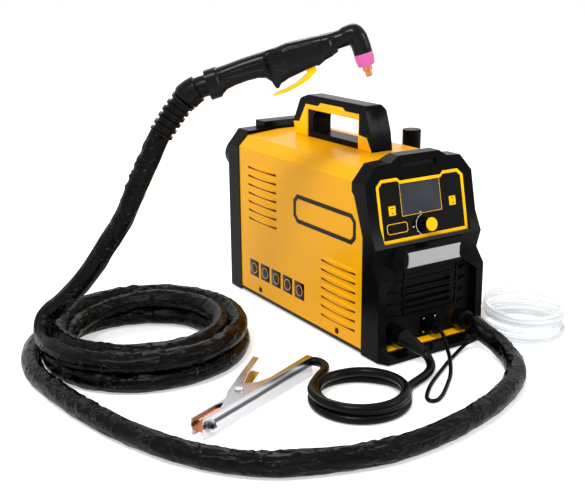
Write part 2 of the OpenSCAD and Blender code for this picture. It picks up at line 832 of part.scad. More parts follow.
module regulator_body() {
    x0 = half_w;
    color("#b4b5b8") difference() {
        union() {
            block([x0, reg_y - 22, reg_z0 + 4], [x0 + 2.5, reg_y + 22, reg_z1 - 6]);
            block([x0 + 2, reg_y - reg_half, reg_z0], [reg_x + reg_half, reg_y + reg_half, reg_z1 - 8]);
            translate([reg_x, reg_y, reg_z1 - 9]) cylinder(r = reg_half - 2, h = 9);
            translate([reg_x, reg_y, reg_z1 - 1]) cylinder(r = 6, h = 16);
            rod_y(reg_x, barb_z, 6, reg_y + reg_half - 1, reg_y + reg_half + 5);
            rod_y(reg_x, barb_z, 2.9, reg_y + reg_half, reg_y + 30);
        }
        rod_y(reg_x, barb_z, 1.6, reg_y, reg_y + 31);
    }
}

module regulator_knob() {
    color("#111113") translate([reg_x, reg_y, 0]) difference() {
        translate([0, 0, reg_z1 + 0.3]) cylinder(r = reg_knob_r, h = reg_top - reg_z1 - 0.3);
        translate([0, 0, reg_z1]) cylinder(r = 6 + fit, h = 16);
    }
}

module filter_bowl() {
    color("#d8dde0") translate([reg_x, reg_y, 0]) rotate_extrude() polygon([
        [0, 118], [9, 118], [15.5, 126], [15.5, reg_z0], [12.5, reg_z0], [12.5, 128], [0, 122]
    ]);
}

// Inside --------------------------------------------------------------

// Main power board on pillars, with its capacitors and mains choke
module main_board() {
    color("#1f6b3a") {
        block([-72, -130, 26], [72, 80, 27.6]);
        for (sx = [-64, 64], sy = [-122, 72]) translate([sx, sy, cover_z]) cylinder(r = 4, h = 17.5 + eps);
        for (i = [0:3]) translate([-48 + 32 * i, -104, 27.6 - eps]) cylinder(r = 13, h = 45);
    }
}

module heat_sinks() {
    color("#a9abae") for (s = [-1, 1]) scale([s, 1, 1]) {
        block([30, -70, 27.6], [35, 30, 95]);
        for (i = [0:6]) block([34.9, -66 + 14 * i, 27.6], [62, -63 + 14 * i, 95]);
    }
}

module transformer() {
    color("#5a3a1c") difference() {
        block([-26, -50, 27.6], [26, 24, 90]);
        block([-27, -22, 42], [27, -4, 76]);
    }
    color("#b06a2c") block([-14, -22, 42], [14, -4, 76]);
}

// Torch ---------------------------------------------------------------

module torch_side() {
    polygon([
        [0, -17.5], [14, -17], [17, -11.5], [30, -9.5], [45, -8.6], [58, -9.4], [66, -12], [71, -18],
        [74, -29.5], [77, -29.5], [81, -24], [91, -20], [108, -17.5], [124, -15.5], [128, -16.5],
        [137, -12.5], [151, -10], [153, -5], [153, 15.6], [136, 16.4], [101, 19.2], [88, 17.7],
        [46, 17.2], [17, 16], [14, 16.8], [0, 16.8]
    ]);
}

module torch_half_shell() {
    difference() {
        torch_slab(fit, torch_half) torch_side();
        translate([-1, 0, torch_axis]) rotate([0, 90, 0]) cylinder(r = 8, h = 142);
        translate([140, 0, torch_axis]) rotate([0, 90, 0]) cylinder(r = neck_r + fit, h = 20);
        torch_slab(-1, trigger_half + 0.4) polygon([
            [60, -40], [60, -20.5], [78, -19], [92, -17], [106, -16], [106, -4], [127, -4], [127, -40]
        ]);
        translate([trigger_pivot[0], 0, trigger_pivot[1]]) rotate([-90, 0, 0])
            cylinder(r = pivot_r + fit, h = trigger_half + 4);
    }
}

module torch_handle_left() {
    color("#1b1b1d") on_torch() mirror([0, 1, 0]) torch_half_shell();
}

module torch_handle_right() {
    color("#1b1b1d") on_torch() torch_half_shell();
}

module torch_trigger() {
    p = trigger_pivot;
    color("gold") on_torch() {
        torch_slab(-trigger_half, trigger_half) polygon([
            [68.5, -31.6], [70, -34], [84, -34], [98, -31.5], [112, -27.5], [124, -21],
            [123, p[1] + 2.5], [113, p[1] + 2.5], [112, -21], [97, -27.5], [82, -30.5]
        ]);
        translate([p[0], -trigger_half - 3, p[1]]) rotate([-90, 0, 0])
            cylinder(r = pivot_r, h = 2 * trigger_half + 6);
    }
}

module torch_head() {
    x = head_x;
    color("#121214") on_torch() difference() {
        union() {
            translate([142, 0, torch_axis]) rotate([0, 90, 0]) cylinder(r = neck_r, h = x - 142);
            translate([x, 0, torch_axis]) sphere(r = 11.2);
            translate([x, 0, -17.5]) cylinder(r = 10.7, h = torch_axis + 17.5);
        }
        translate([x, 0, -18]) cylinder(r = tip_r + fit, h = 12);
    }
}

module torch_cup() {
    color("#d65aaa") on_torch() translate([head_x, 0, 0]) rotate_extrude() polygon([
        [tip_r + fit, -17.7], [11, -17.7], [11, -25], [9.6, -32], [tip_r + fit, -32]
    ]);
}

module torch_tip() {
    color("#b87333") on_torch() translate([head_x, 0, 0]) rotate_extrude() polygon([
        [0.6, -9], [tip_r - 0.4, -9], [tip_r - 0.4, -17.6], [tip_r, -17.8], [tip_r, -37.6],
        [3.8, -38.4], [3.8, -44], [3, -44.8], [0.6, -44.8]
    ]);
}

// Rubber strain relief between the handle and the sleeve
module torch_relief() {
    route = [
        [0, 0, 0], [-9, 0, 0], [-11, 0, -0.2], [-26, 0, -5], [-34, 0, -9.5], [-36, 0, -11],
        [-47, 0, -18.5], [-58, 0, -27], [-70, 0, -37]
    ];
    color("#101012") on_torch() tube(route, [13.5, 13.5, 16, 17, 17, 14.5, 14.5, 14.5, 14.5], 24);
}

// Earth clamp ---------------------------------------------------------

module clamp_lever_front() {
    color("#cfd0d2") on_clamp() difference() {
        union() {
            block([-76, -14, 0], [122, -14 + clamp_t, clamp_w]);
            for (z = [0, clamp_w - clamp_t]) translate([0, 0, z]) linear_extrude(clamp_t)
                polygon([
                    [-76, -14], [122, -14], [122, -6], [46, -8], [28, -4], [12, 8], [-4, 9], [-16, 3],
                    [-26, -2], [-46, -11.5], [-76, -11.5]
                ]);
        }
        translate([0, 0, -1]) cylinder(r = pin_r + fit, h = clamp_w + 2);
    }
}

// Bent channel that turns on the pin, inside the ears of the front lever
module clamp_lever_rear() {
    z0 = clamp_t + 0.4;
    z1 = clamp_w - clamp_t - 0.4;
    color("#b8b9bc") on_clamp() difference() {
        union() {
            translate([0, 0, z0]) linear_extrude(z1 - z0) polygon([
                [-78, 0], [-20, 0.4], [-5, 9.5], [86, 45], [85, 46.6], [-6, 11.2], [-20.6, 2], [-78, 1.6]
            ]);
            for (z = [z0, z1 - clamp_t]) translate([0, 0, z]) linear_extrude(clamp_t) polygon([
                [-78, 1.6], [-78, -0.5], [-40, -0.5], [-24, -5], [-8, -8], [6, -7], [14, 6], [44, 22],
                [86, 38], [85, 46.6], [-6, 11.2], [-20.6, 2]
            ]);
        }
        translate([0, 0, -1]) cylinder(r = pin_r + fit, h = clamp_w + 2);
    }
}

// Riveted pin with the torsion spring's coil round it
module clamp_pin() {
    color("#9d9ea1") on_clamp() {
        translate([0, 0, -1.5]) cylinder(r = pin_r, h = clamp_w + 3);
        translate([0, 0, -1.6]) cylinder(r = pin_r + 1.6, h = 1.6);
        translate([0, 0, clamp_w]) cylinder(r = pin_r + 1.6, h = 1.6);
        translate([0, 0, clamp_t * 2 + 1]) cylinder(r = pin_r + 2.6, h = clamp_w - 4 * clamp_t - 2);
    }
}

function teeth(x0, x1, v0, v1, n) = [
    for (i = [0:n - 1]) each [
        [x0 + (x1 - x0) * i / n, v1], [x0 + (x1 - x0) * (i + 0.5) / n, v0]
    ]
];

module clamp_jaw_front() {
    color("#b5623c") on_clamp() translate([0, 0, 5]) linear_extrude(clamp_w - 10) polygon(concat(
        [[-72, -14 + clamp_t]], teeth(-72, -36, -9, -7.4, 8), [[-36, -9], [-36, -14 + clamp_t]]
    ));
}

module clamp_jaw_rear() {
    color("#b5623c") on_clamp() translate([0, 0, 5]) linear_extrude(clamp_w - 10) polygon(concat(
        [[-36, 0.2], [-72, 0.05]], teeth(-72, -36, -5.4, -7, 8), [[-36, -5.4]]
    ));
}

// Leads and hose ------------------------------------------------------

module sleeve_run() {
    color("#0d0d0f") tube(sleeve_route, even(sleeve_route, sleeve_d / 2));
}

module sleeve_coil() {
    color("#0d0d0f") coil(sleeve_coil_at);
}

module sleeve_rise() {
    color("#0d0d0f") tube(rise_route, even(rise_route, sleeve_d / 2));
}

module earth_run() {
    color("#101012") tube(earth_route, even(earth_route, cable_d / 2), 8);
}

module earth_tail() {
    color("#101012") tube(earth_tail_route, even(earth_tail_route, cable_d / 2), 8);
}

module earth_coil() {
    color("#101012") coil(earth_coil_at);
}

module control_lead() {
    color("#101012") tube(control_route, even(control_route, lead_d / 2), 8);
}

module hose_run() {
    color("#dfe6ea") tube(hose_out_route, even(hose_out_route, hose_d / 2), 8);
}

module hose_coil() {
    color("#dfe6ea") coil(hose_coil_at);
}

module hose_tail() {
    color("#dfe6ea") tube(hose_end_route, even(hose_end_route, hose_d / 2), 8);
}

cover();
base_pan();
rubber_feet();
front_bezel();
rear_bezel();
rear_panel();
socket_panel();
display_trim();
display_panel();
display_screen();
panel_button(-1);  // button_left
panel_button(1);  // button_right
current_knob();
knob_cap();
control_board();
name_plate();
front_grille();
earth_socket();
earth_plug();
torch_socket();
torch_nut();
control_socket();
handle_liner();
handle_shell_left();
handle_shell_right();
case_screws();
fan_frame();
fan_rotor();
power_switch();
power_rocker();
mains_gland();
gauge();
regulator_body();
regulator_knob();
filter_bowl();
main_board();
heat_sinks();
transformer();
torch_handle_left();
torch_handle_right();
torch_trigger();
torch_head();
torch_cup();
torch_tip();
torch_relief();
clamp_lever_front();
clamp_lever_rear();
clamp_pin();
clamp_jaw_front();
clamp_jaw_rear();
sleeve_run();
sleeve_coil();
sleeve_rise();
earth_run();
earth_coil();
earth_tail();
control_lead();
hose_run();
hose_coil();
hose_tail();
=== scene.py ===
import json
import math

import bmesh
import bpy
import numpy as np
from mathutils import Matrix, Vector, noise
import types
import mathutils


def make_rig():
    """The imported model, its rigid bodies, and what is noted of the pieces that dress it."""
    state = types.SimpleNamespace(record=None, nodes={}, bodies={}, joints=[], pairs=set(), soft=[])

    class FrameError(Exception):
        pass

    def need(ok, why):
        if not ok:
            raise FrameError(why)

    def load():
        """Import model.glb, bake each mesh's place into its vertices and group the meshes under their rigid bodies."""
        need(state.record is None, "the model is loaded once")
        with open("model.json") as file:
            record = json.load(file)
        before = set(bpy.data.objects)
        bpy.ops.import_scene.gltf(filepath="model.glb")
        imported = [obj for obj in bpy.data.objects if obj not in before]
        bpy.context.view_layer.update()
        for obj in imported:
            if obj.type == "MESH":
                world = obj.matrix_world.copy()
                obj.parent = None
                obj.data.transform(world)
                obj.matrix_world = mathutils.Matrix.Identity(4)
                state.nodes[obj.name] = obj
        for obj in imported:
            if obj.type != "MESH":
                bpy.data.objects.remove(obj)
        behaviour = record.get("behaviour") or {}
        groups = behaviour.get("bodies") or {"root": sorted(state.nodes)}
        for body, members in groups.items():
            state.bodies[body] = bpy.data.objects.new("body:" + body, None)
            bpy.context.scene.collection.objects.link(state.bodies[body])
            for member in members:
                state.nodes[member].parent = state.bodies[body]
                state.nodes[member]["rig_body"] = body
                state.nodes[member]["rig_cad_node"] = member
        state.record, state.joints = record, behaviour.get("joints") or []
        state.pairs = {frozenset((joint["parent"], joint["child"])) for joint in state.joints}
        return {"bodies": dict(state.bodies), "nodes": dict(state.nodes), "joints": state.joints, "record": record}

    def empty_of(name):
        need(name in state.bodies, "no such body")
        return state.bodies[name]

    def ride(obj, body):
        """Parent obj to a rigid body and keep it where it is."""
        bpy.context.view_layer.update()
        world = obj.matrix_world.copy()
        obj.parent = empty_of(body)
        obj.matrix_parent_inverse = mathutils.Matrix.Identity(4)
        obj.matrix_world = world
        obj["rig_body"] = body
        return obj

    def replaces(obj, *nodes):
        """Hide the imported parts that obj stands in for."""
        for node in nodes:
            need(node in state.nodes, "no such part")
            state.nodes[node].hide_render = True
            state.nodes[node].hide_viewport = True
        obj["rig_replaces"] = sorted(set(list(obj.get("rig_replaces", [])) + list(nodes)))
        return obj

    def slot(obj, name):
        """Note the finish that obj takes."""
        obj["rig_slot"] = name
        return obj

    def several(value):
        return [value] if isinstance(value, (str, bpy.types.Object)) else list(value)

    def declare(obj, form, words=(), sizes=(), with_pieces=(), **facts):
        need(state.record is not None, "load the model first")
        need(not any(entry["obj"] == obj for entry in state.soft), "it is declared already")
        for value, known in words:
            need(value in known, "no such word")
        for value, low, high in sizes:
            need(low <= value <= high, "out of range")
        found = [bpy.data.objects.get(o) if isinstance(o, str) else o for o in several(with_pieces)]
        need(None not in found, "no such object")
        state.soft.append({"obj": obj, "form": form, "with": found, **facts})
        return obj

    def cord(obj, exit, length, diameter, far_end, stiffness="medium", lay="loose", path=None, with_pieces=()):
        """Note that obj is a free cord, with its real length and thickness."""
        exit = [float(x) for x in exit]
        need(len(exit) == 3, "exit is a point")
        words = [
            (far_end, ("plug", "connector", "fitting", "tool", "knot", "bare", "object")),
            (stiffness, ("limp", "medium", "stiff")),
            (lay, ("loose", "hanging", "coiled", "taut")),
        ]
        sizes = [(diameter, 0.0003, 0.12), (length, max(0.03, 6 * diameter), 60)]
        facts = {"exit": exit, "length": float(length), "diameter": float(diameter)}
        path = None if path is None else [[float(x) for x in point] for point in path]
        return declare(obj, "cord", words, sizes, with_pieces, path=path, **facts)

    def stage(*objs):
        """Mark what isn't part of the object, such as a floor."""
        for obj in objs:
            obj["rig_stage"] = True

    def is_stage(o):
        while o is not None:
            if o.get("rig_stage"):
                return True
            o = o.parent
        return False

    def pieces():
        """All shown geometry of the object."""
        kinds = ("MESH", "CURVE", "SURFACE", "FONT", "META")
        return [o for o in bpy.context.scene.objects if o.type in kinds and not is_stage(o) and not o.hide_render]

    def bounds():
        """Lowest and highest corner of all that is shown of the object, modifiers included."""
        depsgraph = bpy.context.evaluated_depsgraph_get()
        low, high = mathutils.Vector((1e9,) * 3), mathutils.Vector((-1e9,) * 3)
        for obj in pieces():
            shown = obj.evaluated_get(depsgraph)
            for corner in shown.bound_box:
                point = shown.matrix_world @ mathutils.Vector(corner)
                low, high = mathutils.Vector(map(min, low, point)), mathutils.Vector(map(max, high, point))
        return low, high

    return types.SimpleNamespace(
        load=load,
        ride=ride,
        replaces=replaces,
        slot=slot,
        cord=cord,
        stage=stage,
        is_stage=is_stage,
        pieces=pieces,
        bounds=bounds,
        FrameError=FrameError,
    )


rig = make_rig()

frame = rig.load()
cadBox = [list(p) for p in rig.bounds()]
nodes = frame["nodes"]
scene = bpy.context.scene
mm = 0.001


# shader values and finishes
class Value:
    # wraps a socket so that shader maths reads as sums
    def __init__(self, finish, socket):
        self.finish, self.socket = finish, socket

    def maths(self, operation, a, b=0.0):
        return self.finish.node("ShaderNodeMath", {"operation": operation}, {0: a, 1: b})

    def __add__(self, other): return self.maths("ADD", self, other)
    def __radd__(self, other): return self.maths("ADD", other, self)
    def __sub__(self, other): return self.maths("SUBTRACT", self, other)
    def __rsub__(self, other): return self.maths("SUBTRACT", other, self)
    def __mul__(self, other): return self.maths("MULTIPLY", self, other)
    def __rmul__(self, other): return self.maths("MULTIPLY", other, self)
    def sine(self): return self.maths("SINE", self)
    def size(self): return self.maths("ABSOLUTE", self)
    def over(self, level): return self.maths("GREATER_THAN", self, level)

    def ramp(self, *stops):
        return self.finish.node("ShaderNodeValToRGB", {"stops": stops}, {0: self})


class Finish:
    def __init__(self, name, **sockets):
        self.material = bpy.data.materials.new(name)
        self.material.use_nodes = True
        self.tree = self.material.node_tree
        self.shader = self.tree.nodes["Principled BSDF"]
        self.set(**sockets)

    def set(self, **sockets):
        for key, value in sockets.items():
            self.feed(self.shader.inputs[key.replace("_", " ")], value)
        return self

    def feed(self, socket, value):
        if isinstance(value, Value):
            self.tree.links.new(value.socket, socket)
        elif isinstance(value, tuple) and len(value) == 3 and socket.type == "RGBA":
            socket.default_value = (*value, 1)
        else:
            socket.default_value = value

    def node(self, kind, settings=None, sockets=None, out=0):
        made = self.tree.nodes.new(kind)
        for key, value in (settings or {}).items():
            if key == "stops":
                ramp = made.color_ramp
                while len(ramp.elements) < len(value):
                    ramp.elements.new(0.5)
                for element, (place, shade) in zip(ramp.elements, value):
                    element.position = place
                    element.color = (shade, shade, shade, 1)
            else:
                setattr(made, key, value)
        for key, value in (sockets or {}).items():
            self.feed(made.inputs[key], value)
        return Value(self, made.outputs[out])

    def place(self, scale=(1, 1, 1), by="Object"):
        at = self.node("ShaderNodeTexCoord", out=by)
        return self.node("ShaderNodeMapping", {}, {"Vector": at, "Scale": scale})

    def noise(self, scale, detail=2.0, stretch=(1, 1, 1)):
        at = self.place(stretch)
        return self.node("ShaderNodeTexNoise", {}, {"Vector": at, "Scale": scale, "Detail": detail})

    def axis(self, at, name):
        return self.node("ShaderNodeSeparateXYZ", {}, {0: at}, out=name)

    def blend(self, share, a, b):
        return self.node("ShaderNodeMix", {"data_type": "RGBA"}, {0: share, 6: a, 7: b}, out=2)

    def bump(self, height, strength, distance):
        sockets = {"Height": height, "Strength": strength, "Distance": distance}
        normal = self.node("ShaderNodeBump", {}, sockets)
        return self.set(Normal=normal)


def darker(color, share):
    return tuple(c * share for c in color)


def paint(name, color, rough=0.2, coat=0.03, shine=0.09):
    f = Finish(name, Coat_Weight=coat, Coat_Roughness=0.05, Specular_IOR_Level=shine)
    cloud = f.noise(9, 3)
    peel = f.noise(900, 2)
    f.set(Base_Color=f.blend(cloud, color, darker(color, 0.95)),
          Roughness=rough + 0.06 * f.noise(60, 4))
    f.bump(peel, 0.03, 0.0003)
    return f.material


def moulded(name, color, rough=0.46, grain=0.22, size=2600, shine=0.5):
    f = Finish(name, Specular_IOR_Level=shine)
    dust = f.noise(26, 5).ramp((0.35, 0), (0.75, 1))
    dusty = tuple(c * 1.4 + 0.0003 for c in color)
    f.set(Base_Color=f.blend(dust, color, dusty), Roughness=rough + 0.1 * (f.noise(140, 3) - 0.5))
    f.bump(f.noise(size, 3), grain, 0.0003)
    return f.material


def metal(name, color, rough=0.22, stretch=(1, 1, 1), scratch=0.05, metallic=1.0):
    f = Finish(name, Metallic=metallic)
    grain = f.noise(700, 4, stretch)
    haze = f.noise(30, 4)
    f.set(Base_Color=f.blend(haze, color, darker(color, 0.86)),
          Roughness=rough + 0.16 * (grain - 0.5) + 0.1 * (haze - 0.5))
    f.bump(grain, scratch, 0.0002)
    return f.material


def chromedSheet():
    # bright plated sheet with painted reflections: a dark band along a standing web's upper half, set by height
    f = Finish("chromedSheet", Metallic=1.0)
    level = f.axis(f.place(), "Z") * 40 + 0.12 * (f.noise(18, 2) - 0.5)
    # painted reflection: dark bands by height, blended into the base colour
    paintedReflection = level.ramp((0.0, 0.5), (0.06, 0.05), (0.5, 0), (0.58, 1), (0.72, 0.9), (0.8, 0), (0.95, 0.25))
    f.set(Base_Color=f.blend(paintedReflection, (0.6, 0.6, 0.62), (0.05, 0.05, 0.055)),
          Roughness=0.14 + 0.08 * f.noise(40, 3))
    f.bump(f.noise(300, 2), 0.03, 0.0003)
    return f.material


def wovenSleeve():
    # crossed threads on the tube's own map, under sparse sharp creases whose lines are also painted a little lighter
    # as a painted highlight
    f = Finish("wovenSleeve", Specular_IOR_Level=0.09)
    at = f.place(by="UV")
    along, around = f.axis(at, "X"), f.axis(at, "Y")
    threads = (along * 5200 + around * 190).sine() * (along * 5200 - around * 190).sine()
    crease = (f.noise(34, 2, (1.0, 1.0, 1.6)) - 0.5).size()
    creasesAndSheen = (crease * 9).ramp((0.0, 1), (0.2, 0.15), (1.0, 0))
    # the crease lines take the lighter colour: a painted highlight, beside their bump and lower roughness
    f.set(Base_Color=f.blend(creasesAndSheen, (0.0007, 0.0007, 0.0008), (0.0024, 0.0024, 0.0025)),
          Roughness=0.25 - 0.05 * creasesAndSheen + 0.04 * threads)
    f.bump(creasesAndSheen + threads * 0.02, 0.7, 0.0022)
    return f.material


def clearPlastic(tint=(0.86, 0.9, 0.93), alpha=0.55, rough=0.16):
    f = Finish("clearPlastic", Coat_Weight=0.6, Coat_Roughness=0.06, IOR=1.4)
    haze = f.noise(160, 3)
    f.set(Base_Color=f.blend(haze, tint, darker(tint, 0.94)), Roughness=rough + 0.08 * haze,
          Alpha=alpha + 0.15 * (haze - 0.5))
    return f.material


def circuitBoard():
    f = Finish("circuitBoard")
    tracks = f.node("ShaderNodeTexVoronoi", {"feature": "DISTANCE_TO_EDGE"}, {"Vector": f.place(), "Scale": 260})
    mask = tracks.over(0.06)
    f.set(Base_Color=f.blend(mask, (0.05, 0.22, 0.1), (0.015, 0.11, 0.045)), Roughness=0.35 + 0.1 * mask)
    f.bump(mask, 0.2, 0.0002)
    return f.material


yellowColor = (0.96, 0.44, 0.002)
blackColor = (0.0014, 0.0014, 0.0015)
finish = {
    "white_print": moulded("whitePrint", (0.8, 0.8, 0.8), 0.5, 0.05),
    "yellow_paint": paint("yellowPaint", yellowColor),
    "black_steel": paint("blackSteel", (0.003, 0.003, 0.0033), 0.36, 0.0, 0.14),
    "rubber": moulded("blackRubber", (0.0018, 0.0018, 0.0018), 0.3, 0.08, 900, 0.1),
    "black_plastic": moulded("grainedBlack", blackColor, 0.24, 0.05, 2600, 0.045),
    "dark_plate": moulded("darkPlate", (0.002, 0.002, 0.002), 0.6, 0.2, 2600, 0.1),
    "yellow_plastic": moulded("yellowPlastic", (0.98, 0.49, 0.0), 0.24, 0.04, 2600, 0.12),
    "gloss_black": moulded("glossBlack", (0.002, 0.002, 0.0022), 0.16, 0.02, 900, 0.1),
    "screen": moulded("smokedWindow", (0.034, 0.036, 0.043), 0.14, 0.01, 700, 0.08),
    "board_green": circuitBoard(),
    "plate": metal("brushedPlate", (0.36, 0.355, 0.35), 0.36, (0.04, 1, 1), 0.12, metallic=0.55),
    "brass": metal("turnedBrass", (0.62, 0.36, 0.12), 0.28, (1, 0.1, 1)),
    "steel": metal("platedSteel", (0.5, 0.5, 0.52), 0.3),
    "red_plastic": moulded("redPlastic", (0.5, 0.015, 0.01), 0.3, 0.05),
    "cast_metal": metal("castMetal", (0.45, 0.45, 0.47), 0.42, scratch=0.2),
    "clear": clearPlastic(),
    "heat_sink": metal("extrudedFins", (0.55, 0.55, 0.57), 0.35, (1, 1, 0.05)),
    "copper": metal("copper", (0.6, 0.22, 0.1), 0.3, scratch=0.1),
    "torch_black": moulded("torchBlack", (0.003, 0.003, 0.0036), 0.2, 0.06, 1800, 0.12),
    "ceramic_pink": moulded("pinkCeramic", (0.62, 0.09, 0.33), 0.22, 0.06, 1200),
    "chrome": chromedSheet(),
    "sleeve": wovenSleeve(),
}
slotOf = {s["node"]: s["material_slot"] for s in frame["record"]["subparts"]}
for name, o in nodes.items():
    o.data.materials.clear()
    o.data.materials.append(finish[slotOf[name]])
print("finishes made")


# mesh helpers
def addMesh(name, points, faces, slot, body="case", replaces=(), smooth=False, uv=None):
    mesh = bpy.data.meshes.new(name)
    mesh.from_pydata([tuple(p) for p in points], [], [tuple(f) for f in faces])
    mesh.update()
    piece = bpy.data.objects.new(name, mesh)
    scene.collection.objects.link(piece)
    if uv is not None:
        layer = mesh.uv_layers.new(name="along")
        layer.data.foreach_set("uv", np.asarray(uv, np.float32).ravel())
    return finishPiece(piece, slot, body, replaces, smooth)


def finishPiece(piece, slot, body="case", replaces=(), smooth=False):
    piece.data.materials.clear()
    piece.data.materials.append(finish[slot])
    for face in piece.data.polygons:
        face.use_smooth = smooth
    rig.ride(piece, body)
    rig.slot(piece, "plate" if slot == "white_print" else slot)
    if replaces:
        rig.replaces(piece, *replaces)
    return piece


def bodyOf(node):
    return next(b for b, members in frame["record"]["behaviour"]["bodies"].items() if node in members)


def applied(piece):
    # the evaluated mesh takes the place of the piece's modifiers
    bpy.context.view_layer.update()
    mesh = bpy.data.meshes.new_from_object(piece.evaluated_get(bpy.context.evaluated_depsgraph_get()))
    piece.modifiers.clear()
    piece.data = mesh
    return piece


# gap and flatAngle clean up the CAD mesh, corners past cornerAngle are rounded,
# and edges under shadeAngle shade smoothly unless one face is areaRatio times the other
rounding = {"gap": 2e-6, "flatAngle": 1.5, "cornerAngle": 25, "steps": 2, "shadeAngle": 28, "areaRatio": 10,
            "levelAngle": 2}


def softened(node, width, slot=None):
    # a copy of a CAD node with its sharp edges rounded over
    mesh = nodes[node].data.copy()
    work = bmesh.new()
    work.from_mesh(mesh)
    bmesh.ops.remove_doubles(work, verts=work.verts, dist=rounding["gap"])
    level = math.radians(rounding["flatAngle"])
    bmesh.ops.dissolve_limit(work, angle_limit=level, verts=work.verts, edges=work.edges)
    work.to_mesh(mesh)
    work.free()
    piece = bpy.data.objects.new(node + "Soft", mesh)
    scene.collection.objects.link(piece)
    bevel = piece.modifiers.new("edge", "BEVEL")
    bevel.width, bevel.segments, bevel.limit_method = width * mm, rounding["steps"], "ANGLE"
    bevel.angle_limit, bevel.harden_normals = math.radians(rounding["cornerAngle"]), False
    applied(piece)
    finishPiece(piece, slot or slotOf[node], bodyOf(node), [node])
    smoothByAngle(piece, rounding["shadeAngle"], rounding["areaRatio"])
    return piece


def smoothByAngle(piece, angle, ratio=0):
    # edges softer than the angle shade as one surface
    # with a ratio, a wide face keeps its flat look beside a narrow one
    work = bmesh.new()
    work.from_mesh(piece.data)
    for face in work.faces:
        face.smooth = True
    for edge in work.edges:
        bend = edge.calc_face_angle(0) if len(edge.link_faces) == 2 else math.pi
        edge.smooth = bend < math.radians(angle)
        if ratio and edge.smooth and bend > math.radians(rounding["levelAngle"]):
            small, large = sorted(face.calc_area() for face in edge.link_faces)
            edge.smooth = large < ratio * small
    work.to_mesh(piece.data)
    work.free()


def spline(points, step):
    # a smooth line through the points, in even steps
    p = [Vector(q) for q in points]
    p = [p[0] * 2 - p[1]] + p + [p[-1] * 2 - p[-2]]
    line = []
    for i in range(1, len(p) - 2):
        a, b, c, d = p[i - 1:i + 3]
        ta, tb, tc = (b - a).length ** 0.5, (c - b).length ** 0.5, (d - c).length ** 0.5
        m1 = (c - b) + tb * ((b - a) / ta - (c - a) / (ta + tb))
        m2 = (c - b) + tb * ((d - c) / tc - (d - b) / (tb + tc))
        for k in range(24):
            t = k / 24
            line.append(b * (2 * t**3 - 3 * t**2 + 1) + m1 * (t**3 - 2 * t**2 + t)
                        + c * (3 * t**2 - 2 * t**3) + m2 * (t**3 - t**2))
    line.append(p[-2])
    far = [0.0]
    for a, b in zip(line, line[1:]):
        far.append(far[-1] + (b - a).length)
    count = max(2, round(far[-1] / step) + 1)
    even = np.linspace(0, far[-1], count)
    flat = np.array([tuple(v) for v in line])
    return [Vector(v) for v in np.stack([np.interp(even, far, flat[:, k]) for k in range(3)], 1)], far[-1]


def inMetres(points):
    return [Vector(p) * mm for p in points]


def even(radius):
    # the same radius in mm all along a tube
    return lambda far: radius * mm


def tube(name, line, radius, slot, sides=16, rough=None, **more):
    # rings along a line; radius(far) gives each ring's size, rough stands the wall in or out
    count = len(line)
    tangents = [(line[min(i + 1, count - 1)] - line[max(i - 1, 0)]).normalized() for i in range(count)]
    side = tangents[0].orthogonal().normalized()
    points, far, lengths = [], 0.0, []
    for i, (at, t) in enumerate(zip(line, tangents)):
        if i:
            far += (at - line[i - 1]).length
        lengths.append(far)
        side = (side - t * side.dot(t)).normalized()
        other = t.cross(side)
        for k in range(sides):
            angle = 2 * math.pi * k / sides
            out = side * math.cos(angle) + other * math.sin(angle)
            points.append(at + out * (radius(far) + (rough(far, angle, out, at) if rough else 0)))
    faces, uv = [], []
    for i in range(count - 1):
        for k in range(sides):
            n = (k + 1) % sides
            faces.append((i * sides + k, i * sides + n, (i + 1) * sides + n, (i + 1) * sides + k))
            a, b, lo, hi = lengths[i], lengths[i + 1], k / sides, (k + 1) / sides
            uv += [(a, lo), (a, hi), (b, hi), (b, lo)]
    faces.append(tuple(range(sides - 1, -1, -1)))
    faces.append(tuple((count - 1) * sides + k for k in range(sides)))
    uv += [(0, 0)] * sides + [(lengths[-1], 0)] * sides
    return addMesh(name, points, faces, slot, smooth=True, uv=uv, **more)


def coilPoints(centre, start, keys, perTurn=16):
    # runs clockwise; keys are (turns so far, radius, height) and the last one ends the coil
    total = keys[-1][0]
    marks = [k[0] for k in keys]
    points = []
    for i in range(int(total * perTurn) + 1):
        turns = min(total, i / perTurn)
        angle = math.radians(start) - 2 * math.pi * turns
        r, z = (np.interp(turns, marks, [k[j] for k in keys]) for j in (1, 2))
        points.append((centre[0] + r * math.cos(angle), centre[1] + r * math.sin(angle), z))
    return points


# geometry trees for what repeats
def group(name, *inputs):
    tree = bpy.data.node_groups.new(name, "GeometryNodeTree")
    tree.interface.new_socket("Geometry", in_out="INPUT", socket_type="NodeSocketGeometry")
    for label, kind in inputs:
        tree.interface.new_socket(label, in_out="INPUT", socket_type="NodeSocket" + kind)
    tree.interface.new_socket("Geometry", in_out="OUTPUT", socket_type="NodeSocketGeometry")
    return tree, tree.nodes.new("NodeGroupInput"), tree.nodes.new("NodeGroupOutput")


def wire(tree, kind, settings=None, **sockets):
    made = tree.nodes.new(kind)
    for key, value in (settings or {}).items():
        setattr(made, key, value)
    for key, value in sockets.items():
        socket = made.inputs[key.replace("_", " ")]
        if isinstance(value, bpy.types.NodeSocket):
            tree.links.new(value, socket)
        else:
            socket.default_value = value
    return made


def closed(tree, start, end, placed):
    # real meshes in one finish, as every tree ends
    real = wire(tree, "GeometryNodeRealizeInstances", Geometry=placed.outputs[0])
    coloured = wire(tree, "GeometryNodeSetMaterial", Geometry=real.outputs[0], Material=start.outputs["Finish"])
    tree.links.new(coloured.outputs[0], end.inputs[0])
    return tree


